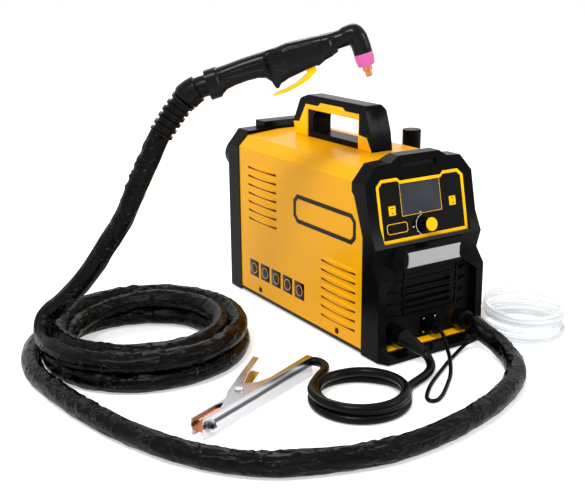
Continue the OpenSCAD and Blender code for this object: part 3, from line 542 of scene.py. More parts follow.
def spreadTree(shape):
    # a round part on each point, standing along the point's own direction
    inputs = ("Width", "Float"), ("Height", "Float"), ("Finish", "Material")
    tree, start, end = group("spread" + shape.title(), *inputs)
    width, height = start.outputs["Width"], start.outputs["Height"]
    aim = wire(tree, "GeometryNodeInputNamedAttribute", {"data_type": "FLOAT_VECTOR"}, Name="aim")
    turn = wire(tree, "FunctionNodeAlignRotationToVector", {"axis": "Z"}, Vector=aim.outputs["Attribute"])
    if shape == "ring":
        path = wire(tree, "GeometryNodeCurvePrimitiveCircle", Resolution=40, Radius=width)
        profile = wire(tree, "GeometryNodeCurvePrimitiveCircle", Resolution=8, Radius=height)
        made = wire(tree, "GeometryNodeCurveToMesh", Curve=path.outputs[0], Profile_Curve=profile.outputs[0])
    elif shape == "dome":
        ball = wire(tree, "GeometryNodeMeshUVSphere", Segments=24, Rings=12, Radius=1.0)
        size = wire(tree, "ShaderNodeCombineXYZ", X=width, Y=width, Z=height)
        made = wire(tree, "GeometryNodeTransform", Geometry=ball.outputs[0], Scale=size.outputs[0])
    else:
        sides = 6 if shape == "nut" else 24
        made = wire(tree, "GeometryNodeMeshCylinder", Vertices=sides, Radius=width, Depth=height)
    placed = wire(tree, "GeometryNodeInstanceOnPoints", Points=start.outputs["Geometry"], Instance=made.outputs[0],
                  Rotation=turn.outputs[0])
    return closed(tree, start, end, placed)


def louvreTree():
    # a column of pressed hoods, one under the other
    inputs = ("Count", "Int"), ("Pitch", "Float"), ("Size", "Vector"), ("Finish", "Material")
    tree, start, end = group("louvreColumn", *inputs)
    step = wire(tree, "ShaderNodeCombineXYZ", Z=start.outputs["Pitch"])
    column = wire(tree, "GeometryNodeMeshLine", Count=start.outputs["Count"], Offset=step.outputs[0])
    ball = wire(tree, "GeometryNodeMeshUVSphere", Segments=32, Rings=16, Radius=1.0)
    hood = wire(tree, "GeometryNodeTransform", Geometry=ball.outputs[0], Scale=start.outputs["Size"])
    each = wire(tree, "GeometryNodeInstanceOnPoints", Points=column.outputs[0], Instance=hood.outputs[0])
    spots = wire(tree, "GeometryNodeInstanceOnPoints", Points=start.outputs["Geometry"], Instance=each.outputs[0])
    return closed(tree, start, end, spots)


trees = {shape: spreadTree(shape) for shape in ("ring", "dome", "disc", "nut")}
trees["louvre"] = louvreTree()


def grown(name, tree, points, slot, aim=(0, 0, 1), **values):
    # runs one of the trees on loose points, and keeps the result as a plain mesh
    mesh = bpy.data.meshes.new(name)
    mesh.from_pydata([tuple(p) for p in points], [], [])
    aims = mesh.attributes.new("aim", "FLOAT_VECTOR", "POINT")
    aims.data.foreach_set("vector", np.tile(np.array(tuple(aim), np.float32), len(points)))
    piece = bpy.data.objects.new(name, mesh)
    scene.collection.objects.link(piece)
    modifier = piece.modifiers.new("grow", "NODES")
    modifier.node_group = trees[tree]
    ids = {i.name: i.identifier for i in trees[tree].interface.items_tree if i.in_out == "INPUT"}
    modifier[ids["Finish"]] = finish[slot]
    for key, value in values.items():
        modifier[ids[key]] = value
    applied(piece)
    finishPiece(piece, slot)
    smoothByAngle(piece, 40)


def ribbon(name, line, width, height, place, slot, closed=False, body="case"):
    # a flat raised line of even width along 2D points
    p = [Vector(q) for q in line]
    n = len(p)
    points = []
    for i in range(n):
        before = p[i - 1] if i or closed else p[i] * 2 - p[1]
        after = p[(i + 1) % n] if i < n - 1 or closed else p[i] * 2 - p[i - 1]
        d1, d2 = (p[i] - before).normalized(), (after - p[i]).normalized()
        side = Vector((-(d1 + d2).y, (d1 + d2).x)).normalized()
        side /= max(0.5, side.dot(Vector((-d1.y, d1.x))))  # a mitre keeps the width round a corner
        for s in (-0.5, 0.5):
            for z in (0, height):
                q = p[i] + side * width * s
                points.append(place(q.x, q.y, z))
    faces = []
    for i in range(n if closed else n - 1):
        a, b = 4 * i, 4 * ((i + 1) % n)
        faces += [(a + 1, a + 3, b + 3, b + 1), (a, b, b + 2, a + 2), (a, a + 1, b + 1, b),
                  (a + 2, b + 2, b + 3, a + 3)]
    if not closed:
        faces += [(0, 2, 3, 1), (4 * n - 4, 4 * n - 3, 4 * n - 1, 4 * n - 2)]
    outward(addMesh(name, points, faces, slot, body))


def outward(piece):
    work = bmesh.new()
    work.from_mesh(piece.data)
    bmesh.ops.recalc_face_normals(work, faces=work.faces)
    work.to_mesh(piece.data)
    work.free()


def slab(name, outline, height, place, slot, rim=0.1 * mm):
    # a flat plate from a 2D outline, with its rim rounded over
    n = len(outline)
    points = [place(x, y, z) for z in (0, height) for x, y in outline]
    faces = [tuple(range(n - 1, -1, -1)), tuple(range(n, 2 * n))]
    faces += [(k, (k + 1) % n, n + (k + 1) % n, n + k) for k in range(n)]
    piece = addMesh(name, points, faces, slot)
    outward(piece)
    bevel = piece.modifiers.new("edge", "BEVEL")
    bevel.width, bevel.segments, bevel.limit_method = rim, 2, "ANGLE"
    applied(piece)
    finishPiece(piece, slot)
    smoothByAngle(piece, 35)


def flat(points):
    # 2D points in mm
    return [(a * mm, b * mm) for a, b in points]


def turned(degrees, axis):
    return Matrix.Rotation(math.radians(degrees), 4, axis)


# camera and light
camera = bpy.data.objects.new("camera", bpy.data.cameras.new("camera"))
scene.collection.objects.link(camera)
scene.camera = camera
view = {"at": (-0.7449, -1.0279, 0.4737), "turn": -32.55, "lift": 73.04, "roll": -0.41, "lens": 58.24,
        "sensor": 36, "far": 20}
camera.data.lens, camera.data.sensor_width, camera.data.clip_end = view["lens"], view["sensor"], view["far"]
camera.matrix_world = Matrix.Translation(view["at"]) @ turned(view["turn"], "Z") @ turned(view["lift"], "X") @ \
    turned(view["roll"], "Z")


def seenDirectly(tree):
    # 1 for the camera, and for what gloss and clear plastic show of the background
    rays = tree.nodes.new("ShaderNodeLightPath")
    seen = rays.outputs["Is Camera Ray"]
    for kind in ("Is Glossy Ray", "Is Transmission Ray"):
        most = tree.nodes.new("ShaderNodeMath")
        most.operation = "MAXIMUM"
        tree.links.new(seen, most.inputs[0])
        tree.links.new(rays.outputs[kind], most.inputs[1])
        seen = most.outputs[0]
    return seen


studio = {"sky": 0.6, "backdrop": 1.0, "floorGlow": 0.5, "floorReach": 6, "floorGap": 0.0004}
world = bpy.data.worlds.new("studio")
scene.world = world
world.use_nodes = True
skyTree = world.node_tree
dome = skyTree.nodes["Background"]
backdrop = skyTree.nodes.new("ShaderNodeBackground")
for light, strength in ((dome, studio["sky"]), (backdrop, studio["backdrop"])):
    light.inputs["Color"].default_value = (1, 1, 1, 1)
    light.inputs["Strength"].default_value = strength
pick = skyTree.nodes.new("ShaderNodeMixShader")
skyTree.links.new(seenDirectly(skyTree), pick.inputs[0])
skyTree.links.new(dome.outputs[0], pick.inputs[1])
skyTree.links.new(backdrop.outputs[0], pick.inputs[2])
skyTree.links.new(pick.outputs[0], skyTree.nodes["World Output"].inputs["Surface"])

# each lamp's place, aim, size and power
lamps = {
    "keyLight": ((-1.3, -0.9, 1.9), (0, 0, 0.1), (0.8, 0.6), 34),
    "rimLight": ((0.7, 1.3, 1.6), (-0.1, 0, 0.15), (1.0, 0.5), 15),
    "sideLight": ((1.1, -1.5, 1.0), (0, -0.1, 0.12), (0.5, 0.5), 9),
}
for name, (at, to, size, power) in lamps.items():
    lamp = bpy.data.objects.new(name, bpy.data.lights.new(name, "AREA"))
    lamp.data.shape, lamp.data.size, lamp.data.size_y, lamp.data.energy = "RECTANGLE", *size, power
    scene.collection.objects.link(lamp)
    aimed = (Vector(to) - Vector(at)).to_track_quat("-Z", "Y").to_matrix().to_4x4()
    lamp.matrix_world = Matrix.Translation(at) @ aimed

floorFinish = Finish("paleFloor", Roughness=0.6, Specular_IOR_Level=0.2)
floorFinish.set(Base_Color=floorFinish.blend(floorFinish.noise(3, 2), (0.86, 0.86, 0.86), (0.84, 0.84, 0.84)))
floorTree = floorFinish.tree
glow = floorTree.nodes.new("ShaderNodeEmission")
direct = Value(floorFinish, seenDirectly(floorTree))
floorTree.links.new((direct * studio["floorGlow"]).socket, glow.inputs["Strength"])
both = floorTree.nodes.new("ShaderNodeAddShader")
floorTree.links.new(floorFinish.shader.outputs[0], both.inputs[0])
floorTree.links.new(glow.outputs[0], both.inputs[1])
floorTree.links.new(both.outputs[0], floorTree.nodes["Material Output"].inputs["Surface"])
floorMesh = bpy.data.meshes.new("floor")
r = studio["floorReach"]
floorMesh.from_pydata([(-r, -r, 0), (r, -r, 0), (r, r, 0), (-r, r, 0)], [], [(0, 1, 2, 3)])
floorMesh.materials.append(floorFinish.material)
floor = bpy.data.objects.new("floor", floorMesh)
scene.collection.objects.link(floor)
floor.location.z = -studio["floorGap"]
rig.stage(floor)
scene.view_settings.view_transform = "Standard"
print("camera and light set")


# cords and hose
torchSleeve = {
    "diameter": 0.026, "radius": 12.8, "sides": 36, "step": 0.003,
    "run": [(52, -202, 32), (51, -216, 29), (53, -232, 24), (54, -248, 19), (50, -264, 15.5), (44, -280, 13.2),
            (26, -306, 13.2), (-6, -332, 13.2), (-55, -355, 13.2), (-108, -370, 13.2), (-165, -378, 13.2),
            (-221, -377, 13.2), (-275, -362, 13.2), (-325, -339, 13.2), (-362, -306, 13.2), (-392, -262, 13.2),
            (-414, -212, 13.2), (-430, -160, 13.2), (-440, -112, 13.2), (-447, -60, 13.2), (-450, -5, 13.4)],
    "coil": dict(centre=(-304, 15), start=168, keys=[
        (0, 139, 13.2), (0.25, 124, 13.2), (0.9, 121, 13.2), (1.25, 97, 13.2), (1.95, 95, 14), (2.3, 97, 36),
        (2.9, 98, 37), (3.2, 119, 35), (3.95, 121, 36), (4.0, 121, 38)]),
    "tail": [(-414, 58, 55), (-391, 42, 80), (-366, 27, 112), (-344, 13, 150), (-327, 1, 182), (-312, -8, 219),
             (-298, -17, 253), (-285, -25, 283)],
}

# depth and pitch of the zig-zag, then its lean, swing and width round the tube in radians;
# it faces up, and towards the middle of the coil where that is within reach
fold = {"depth": 0.0021, "pitch": 0.036, "wander": 2.6, "lean": 0.75, "swing": 0.42, "width": 0.34, "hollow": 0.9,
        "wrinkle": 0.35, "coilReach": 0.16, "coilPull": 1.1, "runPull": -0.35}


def sleeveFolds(far, angle, out, at):
    # zig-zag buckles on the upper side, long wrinkles lower down
    middle = Vector(torchSleeve["coil"]["centre"]).to_3d() * mm
    inward = (middle - at) * Vector((1, 1, 0))
    onCoil = inward.length < fold["coilReach"]
    pull = inward.normalized() * fold["coilPull"] if onCoil else Vector((0, fold["runPull"], 0))
    facing = Vector((0, 0, 1)) + pull
    lean = math.acos(max(-1.0, min(1.0, out.dot(facing.normalized()))))
    step = far / fold["pitch"] + fold["wander"] * noise.noise(Vector((far * 9, 3, 1)))
    swing = abs(2 * (step - math.floor(step + 0.5))) * 2 - 1
    edge = abs(lean - fold["lean"] - fold["swing"] * swing)
    strength = 0.55 + 0.9 * noise.noise(Vector((far * 16 + 9, 0.5, 2)))
    buckle = max(0.0, 1 - edge / fold["width"]) * strength
    hollow = -fold["hollow"] * max(0.0, 1 - lean / fold["lean"]) * (0.4 + 0.6 * abs(swing))
    long = noise.noise(Vector((far * 21, math.cos(angle) * 2.4, math.sin(angle) * 2.4)))
    wrinkle = (1 - 4 * abs(long)) * fold["wrinkle"] if abs(long) < 0.5 else 0
    return fold["depth"] * (buckle + hollow + wrinkle - fold["wrinkle"])


def laid(cord):
    # the whole line of a cord, and its length
    points = cord["run"] + (coilPoints(**cord["coil"]) if "coil" in cord else []) + cord.get("tail", [])
    return spline(inMetres(points), cord["step"])


sleeveLine, sleeveLength = laid(torchSleeve)
sleeve = tube("torchSleeve", sleeveLine, even(torchSleeve["radius"]), "sleeve", torchSleeve["sides"], sleeveFolds,
              replaces=["sleeve_run", "sleeve_coil", "sleeve_rise"])

earthCable = {
    "diameter": 0.011, "radius": 5.5, "sides": 14, "step": 0.004,
    "run": [(-38, -216, 18), (-37, -224, 12), (-41, -233, 7.5), (-50, -241, 5.8), (-64, -249, 5.6),
            (-84, -256.5, 5.6), (-99, -263, 5.6), (-111, -274, 5.6)],
    "coil": dict(centre=(-163, -254), start=-32, keys=[
        (0, 53.5, 5.6), (0.8, 53.2, 5.6), (1.1, 52, 14), (1.7, 47, 15.6), (2.0, 51, 18), (2.3, 53, 18),
        (2.5, 53.5, 17.5)]),
    "tail": [(-180, -199, 16), (-166, -188, 14.5), (-156, -174, 13.6), (-156, -161, 13.6), (-165, -153.5, 13.6),
             (-176, -156, 13.6), (-191, -165, 13.6), (-214, -176.4, 13.6), (-237, -185.7, 13.6),
             (-260.3, -195, 13.6)],
}
line, length = laid(earthCable)
cable = tube("earthCable", line, even(earthCable["radius"]), "rubber", earthCable["sides"],
             replaces=["earth_run", "earth_coil", "earth_tail"])
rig.cord(cable, exit=line[0], length=round(length, 3), diameter=earthCable["diameter"], far_end="object",
        stiffness="medium", lay="loose", path=line, with_pieces=[nodes["earth_plug"]])

controlLead = {
    "diameter": 0.005, "radius": 2.5, "sides": 12, "step": 0.003,
    "run": [(5, -190, 32), (5, -199, 28), (2, -210, 20), (-4, -221, 14), (-12, -234, 10), (-22, -247, 5.5),
            (-34, -260, 2.8), (-50, -274, 2.8), (-66, -287, 2.8), (-80, -297, 2.8), (-92, -302, 2.8),
            (-98, -299, 2.8), (-97, -292, 2.8), (-87, -281, 2.8), (-70, -267, 2.8), (-49, -253, 2.8),
            (-28, -240, 2.8), (-10, -229, 2.8), (10, -218, 2.8), (28, -210, 5), (40, -208, 9), (48, -213, 14),
            (51, -219, 20)],
}
line, length = laid(controlLead)
lead = tube("controlLead", line, even(controlLead["radius"]), "rubber", controlLead["sides"],
            replaces=["control_lead"])
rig.cord(lead, exit=line[0], length=round(length, 3), diameter=controlLead["diameter"], far_end="object",
        stiffness="limp", lay="loose", path=line)

airHose = {
    "diameter": 0.006, "radius": 3, "sides": 12, "step": 0.0035,
    "run": [(102.5, 18, 200), (102, 32, 198), (103, 44, 186), (104, 50, 166), (105, 52, 130), (106, 52, 90),
            (107, 50, 50), (109, 42, 20), (111, 22, 6), (113, -10, 3.2), (116, -50, 3.2), (126, -84, 3.2),
            (146, -113, 3.2), (168, -134, 3.2), (184, -152, 3.4)],
    "coil": dict(centre=(150, -195), start=38, keys=[
        (0, 54, 3.6), (0.5, 53, 3.3), (1.5, 54, 8), (2.2, 50, 14), (3.0, 54, 17), (3.6, 47, 24), (4.3, 53, 27),
        (5.0, 50, 36), (5.5, 52, 33), (5.85, 48, 44)]),
    "tail": [(182, -148, 46), (200, -145, 47), (236, -135, 50), (272, -125, 52)],
}
line, length = laid(airHose)
hose = tube("airHose", line, even(airHose["radius"]), "clear", airHose["sides"],
            replaces=["hose_run", "hose_coil", "hose_tail"])
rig.cord(hose, exit=line[0], length=round(length, 3), diameter=airHose["diameter"], far_end="bare",
        stiffness="stiff", lay="coiled", path=line)
print("cords laid")


# how far each CAD piece has its edges rounded over
edges = {
    "cover": 0.5, "front_bezel": 1.1, "rear_bezel": 1.1, "handle_shell_left": 0.5, "handle_shell_right": 0.5,
    "handle_liner": 1.0, "display_trim": 0.25, "name_plate": 0.3, "knob_cap": 0.5, "current_knob": 0.4,
    "button_left": 0.4, "button_right": 0.4, "regulator_body": 0.7, "regulator_knob": 1.0, "gauge": 1.2,
    "power_switch": 0.6, "power_rocker": 0.6, "front_grille": 0.4, "base_pan": 0.6, "mains_gland": 0.6,
    "torch_trigger": 0.9, "clamp_lever_front": 0.4, "clamp_lever_rear": 0.4, "torch_cup": 0.5, "earth_socket": 0.4,
}
for node, width in edges.items():
    softened(node, width)
leadNut = softened("torch_nut", 0.6, slot="rubber")
print("edges rounded")

# louvres in both walls, badge frame and tiles on the left one
louvre = {"count": 7, "pitch": 12.5, "size": (2.6, 39.8, 4.0), "groups": [(88, 197.2), (-97, 106.2)],
          "wall": 83, "sunk": 0.2}


def onSide(y, z, out):
    # the left wall of the cover, out is away from it
    return Vector((-louvre["wall"] * mm - out, y, z))


for side, name in ((-1, "Left"), (1, "Right")):
    points = [Vector((side * (louvre["wall"] - louvre["sunk"]), y, z)) * mm for y, z in louvre["groups"]]
    grown("louvreHoods" + name, "louvre", points, "yellow_paint", Count=louvre["count"],
          Pitch=-louvre["pitch"] * mm, Size=tuple(v * mm for v in louvre["size"]))

badge = {"y": (-132, 2.6), "z": (142.5, 176), "cut": 7, "line": 5.6, "thick": 0.5}


def cutCorners(across, up, cut):
    # a rectangle with its corners cut off
    (a, b), (lo, hi) = across, up
    return flat([(a + cut, lo), (b - cut, lo), (b, lo + cut), (b, hi - cut), (b - cut, hi), (a + cut, hi),
                 (a, hi - cut), (a, lo + cut)])


ribbon("badgeFrame", cutCorners(badge["y"], badge["z"], badge["cut"]), badge["line"] * mm, badge["thick"] * mm,
       onSide, "gloss_black", closed=True)

tiles = {"count": 5, "first": 112.5, "pitch": 30, "z": (33, 57), "width": 24, "thick": 0.35, "ring": 7.5,
         "line": 0.7, "ringHigh": 0.5}
for i in range(tiles["count"]):
    y = tiles["first"] - i * tiles["pitch"]
    half, (lo, hi) = tiles["width"] / 2, tiles["z"]
    square = [(y - half, lo), (y + half, lo), (y + half, hi), (y - half, hi)]
    slab(f"sideTile{i + 1}", flat(square), tiles["thick"] * mm, onSide, "gloss_black")
    ring = [(y + tiles["ring"] * math.cos(t), (lo + hi) / 2 + tiles["ring"] * math.sin(t))
            for t in np.linspace(0, 2 * math.pi, 24, endpoint=False)]
    ribbon(f"tileRing{i + 1}", flat(ring), tiles["line"] * mm, tiles["ringHigh"] * mm, onSide, "yellow_plastic",
           closed=True)
print("side walls dressed")


# dark sheets inside the case, behind louvres and grille: painted shade, so that what shows through them reads dark
shadeSheet = {"x": 75, "y": (-146, 148), "z": (10, 206), "thick": 0.8, "grilleX": 76, "grilleZ": (12, 110),
          "grilleY": -165.5}
for side, name in ((-1, "Left"), (1, "Right")):
    (a, b), (lo, hi) = shadeSheet["y"], shadeSheet["z"]
    slab("caseLining" + name, flat([(a, lo), (b, lo), (b, hi), (a, hi)]), shadeSheet["thick"] * mm,
         lambda u, v, w, s=side: Vector((s * (shadeSheet["x"] * mm + w), u, v)), "dark_plate")
half, (lo, hi) = shadeSheet["grilleX"], shadeSheet["grilleZ"]
slab("grilleLining", flat([(-half, lo), (half, lo), (half, hi), (-half, hi)]), shadeSheet["thick"] * mm,
     lambda x, z, w: Vector((x, shadeSheet["grilleY"] * mm + w, z)), "dark_plate")
print("shadeSheets set")


# display panel
panel = {"tilt": 12.3, "foot": (0, -169.2, 146.6), "printed": -1.05, "dialPrinted": -1.02, "numbers": -0.95,
         "slotFloor": -1.7, "key": 0.15}
tilt = math.radians(panel["tilt"])
panelUp = Vector((0, math.sin(tilt), math.cos(tilt)))
panelOut = Vector((0, -math.cos(tilt), math.sin(tilt)))


def onPanel(x, v, w):
    return Vector(panel["foot"]) * mm + Vector((x, 0, 0)) + panelUp * v + panelOut * w


def raised(level):
    # the same, from one of the panel's own levels
    return lambda x, v, w: onPanel(x, v, w + panel[level] * mm)


screenFrame = {"x": (-33, 30), "v": (30.4, 70.6), "line": 0.55, "thick": 0.25}
(a, b), (lo, hi) = screenFrame["x"], screenFrame["v"]
ribbon("screenFrame", flat([(a, lo), (b, lo), (b, hi), (a, hi)]), screenFrame["line"] * mm,
       screenFrame["thick"] * mm, raised("printed"), "yellow_plastic", closed=True)

panelBadge = {"x": (-58, -27), "v": (11, 23), "cut": 2.2, "line": 0.8, "thick": 0.25}
ribbon("panelBadge", cutCorners(panelBadge["x"], panelBadge["v"], panelBadge["cut"]), panelBadge["line"] * mm,
       panelBadge["thick"] * mm, raised("printed"), "yellow_plastic", closed=True)

dial = {"centre": (0, 16), "radius": 13.2, "from": 105, "to": 262, "ticks": 7, "tickLong": 1.6, "tickLine": 0.4,
        "line": 0.5, "thick": 0.2, "numbers": (("20", 262), ("30", 183), ("40", 105)), "numberRadius": (17.6, 16.6),
        "numberSize": 3.0, "numberDrop": 1.1}


def dialPoint(degrees, across, up=None):
    # a point in mm on the dial, at one radius or at two
    cx, cv = dial["centre"]
    t = math.radians(degrees)
    return cx + across * math.cos(t), cv + (up or across) * math.sin(t)


ribbon("dialArc", flat([dialPoint(t, dial["radius"]) for t in np.linspace(dial["from"], dial["to"], 28)]),
       dial["line"] * mm, dial["thick"] * mm, raised("dialPrinted"), "white_print")
for i in range(dial["ticks"]):
    t = dial["from"] + (dial["to"] - dial["from"]) * i / (dial["ticks"] - 1)
    ends = [dialPoint(t, r) for r in (dial["radius"], dial["radius"] + dial["tickLong"])]
    ribbon(f"dialTick{i + 1}", flat(ends), dial["tickLine"] * mm, dial["thick"] * mm, raised("dialPrinted"),
           "white_print")


def numeral(name, words, size, place, slot):
    # plain numbers printed on a face
    curve = bpy.data.curves.new(name, "FONT")
    curve.body, curve.size, curve.extrude, curve.align_x = words, size * mm, 0.08 * mm, "CENTER"
    curve.resolution_u = 3
    made = bpy.data.objects.new(name, curve)
    scene.collection.objects.link(made)
    printed = bpy.data.meshes.new_from_object(made.evaluated_get(bpy.context.evaluated_depsgraph_get()))
    bpy.data.objects.remove(made)
    for vertex in printed.vertices:
        vertex.co = place(vertex.co.copy())
    piece = bpy.data.objects.new(name, printed)
    scene.collection.objects.link(piece)
    finishPiece(piece, slot)


for words, degrees in dial["numbers"]:
    x, v = dialPoint(degrees, *dial["numberRadius"])
    at = (x * mm, (v - dial["numberDrop"]) * mm)
    numeral("dialNumber" + words, words, dial["numberSize"],
            lambda q, at=at: onPanel(at[0] + q.x, at[1] + q.y, q.z + panel["numbers"] * mm), "white_print")

keyMarks = {"left": -48, "right": 48, "v": 39, "apart": 3.2, "half": 2, "line": 0.9, "thick": 0.2}
for side in ("left", "right"):
    for up, name in ((-1, "Low"), (1, "High")):
        x, v = keyMarks[side], keyMarks["v"] + up * keyMarks["apart"]
        mark = [(x - keyMarks["half"], v), (x + keyMarks["half"], v)]
        ribbon(f"{side}KeyMark{name}", flat(mark), keyMarks["line"] * mm, keyMarks["thick"] * mm, raised("key"),
               "gloss_black", body=side + "_button")

topSlot = {"half": 26.8, "v": (88.2, 95.3), "thick": 0.3}
half, (lo, hi) = topSlot["half"], topSlot["v"]
slab("topSlot", flat([(-half, lo), (half, lo), (half, hi), (-half, hi)]), topSlot["thick"] * mm,
     raised("slotFloor"), "dark_plate")

lip = {"x": 68, "y": -184.4, "z": (13.2, 15.6), "slope": 2, "deep": 14, "rim": 0.3}
half, (lo, hi) = lip["x"], lip["z"]
slab("frontLip", flat([(-half, lo), (half, lo), (half - lip["slope"], hi), (lip["slope"] - half, hi)]),
     lip["deep"] * mm, lambda x, z, w: Vector((x, lip["y"] * mm + w, z)), "yellow_plastic", rim=lip["rim"] * mm)
print("panel printed")


# gauge face at the back: dial card, ticks, needle, plain numbers
gaugeFace = {"at": (-57, 200.05, 200), "radius": 18.4, "card": 0.4, "from": 225, "to": -45, "ticks": 11,
             "longTick": 3.4, "shortTick": 2.2, "rimGap": 0.8, "tickLine": 0.6, "tickHigh": 0.15,
             "reading": 118, "needle": (4, 13), "needleLine": 0.9, "needleLift": 0.7, "needleHigh": 0.3,
             "hub": (2.2, 1.0), "numbers": (("0", 225), ("5", 90), ("10", -45)), "numberIn": 6.6,
             "numberSize": 3.4, "numberDrop": 1.2, "numberLift": 0.42}


def onGauge(x, z, out):
    cx, cy, cz = gaugeFace["at"]
    return Vector((cx * mm - x, cy * mm + out, cz * mm + z))


def gaugePoint(degrees, r):
    return r * math.cos(math.radians(degrees)) * mm, r * math.sin(math.radians(degrees)) * mm


g = gaugeFace
slab("gaugeCard", [gaugePoint(10 * k, g["radius"]) for k in range(36)], g["card"] * mm, onGauge, "white_print")
for i in range(g["ticks"]):
    t = g["from"] + (g["to"] - g["from"]) * i / (g["ticks"] - 1)
    deep = g["longTick"] if i % 5 == 0 else g["shortTick"]
    ends = [gaugePoint(t, g["radius"] - deep), gaugePoint(t, g["radius"] - g["rimGap"])]
    ribbon(f"gaugeTick{i + 1}", ends, g["tickLine"] * mm, g["tickHigh"] * mm,
           lambda x, z, w: onGauge(x, z, w + g["card"] * mm), "gloss_black")
back, front = g["needle"]
ribbon("gaugeNeedle", [gaugePoint(g["reading"] + 180, back), gaugePoint(g["reading"], front)],
       g["needleLine"] * mm, g["needleHigh"] * mm, lambda x, z, w: onGauge(x, z, w + g["needleLift"] * mm),
       "red_plastic")
grown("gaugeHub", "dome", [onGauge(0, 0, g["needleLift"] * mm)], "gloss_black", (0, 1, 0),
      Width=g["hub"][0] * mm, Height=g["hub"][1] * mm)
for words, degrees in g["numbers"]:
    x, z = gaugePoint(degrees, g["radius"] - g["numberIn"])
    at = (x, z - g["numberDrop"] * mm)
    numeral("gaugeNumber" + words, words, g["numberSize"],
            lambda q, at=at: onGauge(at[0] + q.x, at[1] + q.y, g["numberLift"] * mm + q.z), "gloss_black")
print("gauge face made")


# screws and small turned parts
torchPlace = {"at": (-237.4, -55.7, 339), "turn": -32.55, "tip": -16.7}
clampPlace = {"at": (-286, -198, 1.6), "turn": 21.8}
torchAt = Matrix.Translation(Vector(torchPlace["at"]) * mm) @ turned(torchPlace["turn"], "Z") @ \
    turned(torchPlace["tip"], "Y")
clampAt = Matrix.Translation(Vector(clampPlace["at"]) * mm) @ turned(clampPlace["turn"], "Z")


def onTorch(a, y, b):
    return torchAt @ (Vector((a, y, b)) * mm)


def onClamp(u, v, z):
    return clampAt @ (Vector((u, v, z)) * mm)


socket = {"x": 5, "y": -174.6, "z": 32, "reach": 9, "screw": (1.5, 0.8)}
spots = [Vector((socket["x"] + socket["reach"] * a, socket["y"], socket["z"] + socket["reach"] * b)) * mm
         for a in (-1, 1) for b in (-1, 1)]
grown("socketScrews", "dome", spots, "chrome", (0, -1, 0), Width=socket["screw"][0] * mm,
      Height=socket["screw"][1] * mm)

# the jaw's fastening: tree, how far out, width, height and finish of each
jaw = {"u": -66, "z": 12, "parts": {
    "jawNut": ("nut", -16.5, 5.6, 4, "chrome"),
    "jawBolt": ("disc", -19.5, 3, 4, "chrome"),
    "jawWasher": ("disc", -14.3, 7.4, 1, "steel"),
}}
for name, (shape, v, width, height, slot) in jaw["parts"].items():
    grown(name, shape, [onClamp(jaw["u"], v, jaw["z"])], slot, clampAt.to_3x3() @ Vector((0, -1, 0)),
          Width=width * mm, Height=height * mm)

braid = {"strands": 9, "u": (-62, -24), "z": 12, "width": 8, "thick": 0.75, "hump": 3.2, "stagger": 5}
chance = np.random.default_rng(7)
for i in range(braid["strands"]):
    z = braid["z"] + braid["width"] * (i / (braid["strands"] - 1) - 0.5)
    lift, (u0, u1) = braid["hump"] * chance.uniform(0.6, 1.3), braid["u"]
    route = [(u0 + 2 * i % braid["stagger"], -5.2, z), (u0 + 8, -3.6 - lift * 0.4, z + 0.8),
             (u0 + 16, -4.6 + 0.3 * lift, z - 0.8), (u0 + 25, -7 - 0.5 * lift, z + 0.6), (u0 + 32, -9.4, z),
             (u1, -11.8, z)]
    strand, _ = spline([onClamp(*p) for p in route], 0.0015)
    tube(f"braidStrand{i + 1}", strand, even(braid["thick"]), "copper", 8)
print("clamp hardware made")


# torch: moulded halves with a crowned section, ribbed relief
torchShape = {
    "seam": 0.12, "sideCrown": 0.62, "topCrown": 0.8,  # gap between the halves, and how round the section is
    "slot": {"a": (72, 127), "half": 6.3, "share": 0.8, "draft": 0.06, "deepFrom": 106}, "step": 1.7, "around": 20,
    "roof": [(60, -20.5), (78, -19), (92, -17), (105.9, -16), (106.1, -4), (127, -4)],
    "top": [(0, 17), (13, 17.2), (15, 15.6), (30, 16.3), (46, 17.2), (70, 17.6), (88, 17.7), (101, 19.2),
            (120, 17.6), (136, 16.4), (145, 15.8), (153, 15.2)],
    "bottom": [(0, -17.5), (12, -17.2), (15, -14.2), (20, -11.2), (30, -9.5), (45, -8.6), (58, -9.4), (66, -12),
               (71, -18), (74, -29.5), (77, -29.5), (81, -24), (91, -20), (108, -17.5), (124, -15.5), (128, -16.5),
               (137, -12.5), (146, -10.5), (153, -8)],
    "half": [(0, 16.6), (13, 16.6), (15, 14.6), (40, 14.2), (70, 13.6), (74, 9), (78, 9.6), (92, 14.2), (110, 14.4),
             (137, 13.4), (139, 14.2), (146, 14.2), (148, 12.6), (153, 12)],
}


def track(name, a):
    xs, ys = zip(*torchShape[name])
    return float(np.interp(a, xs, ys))


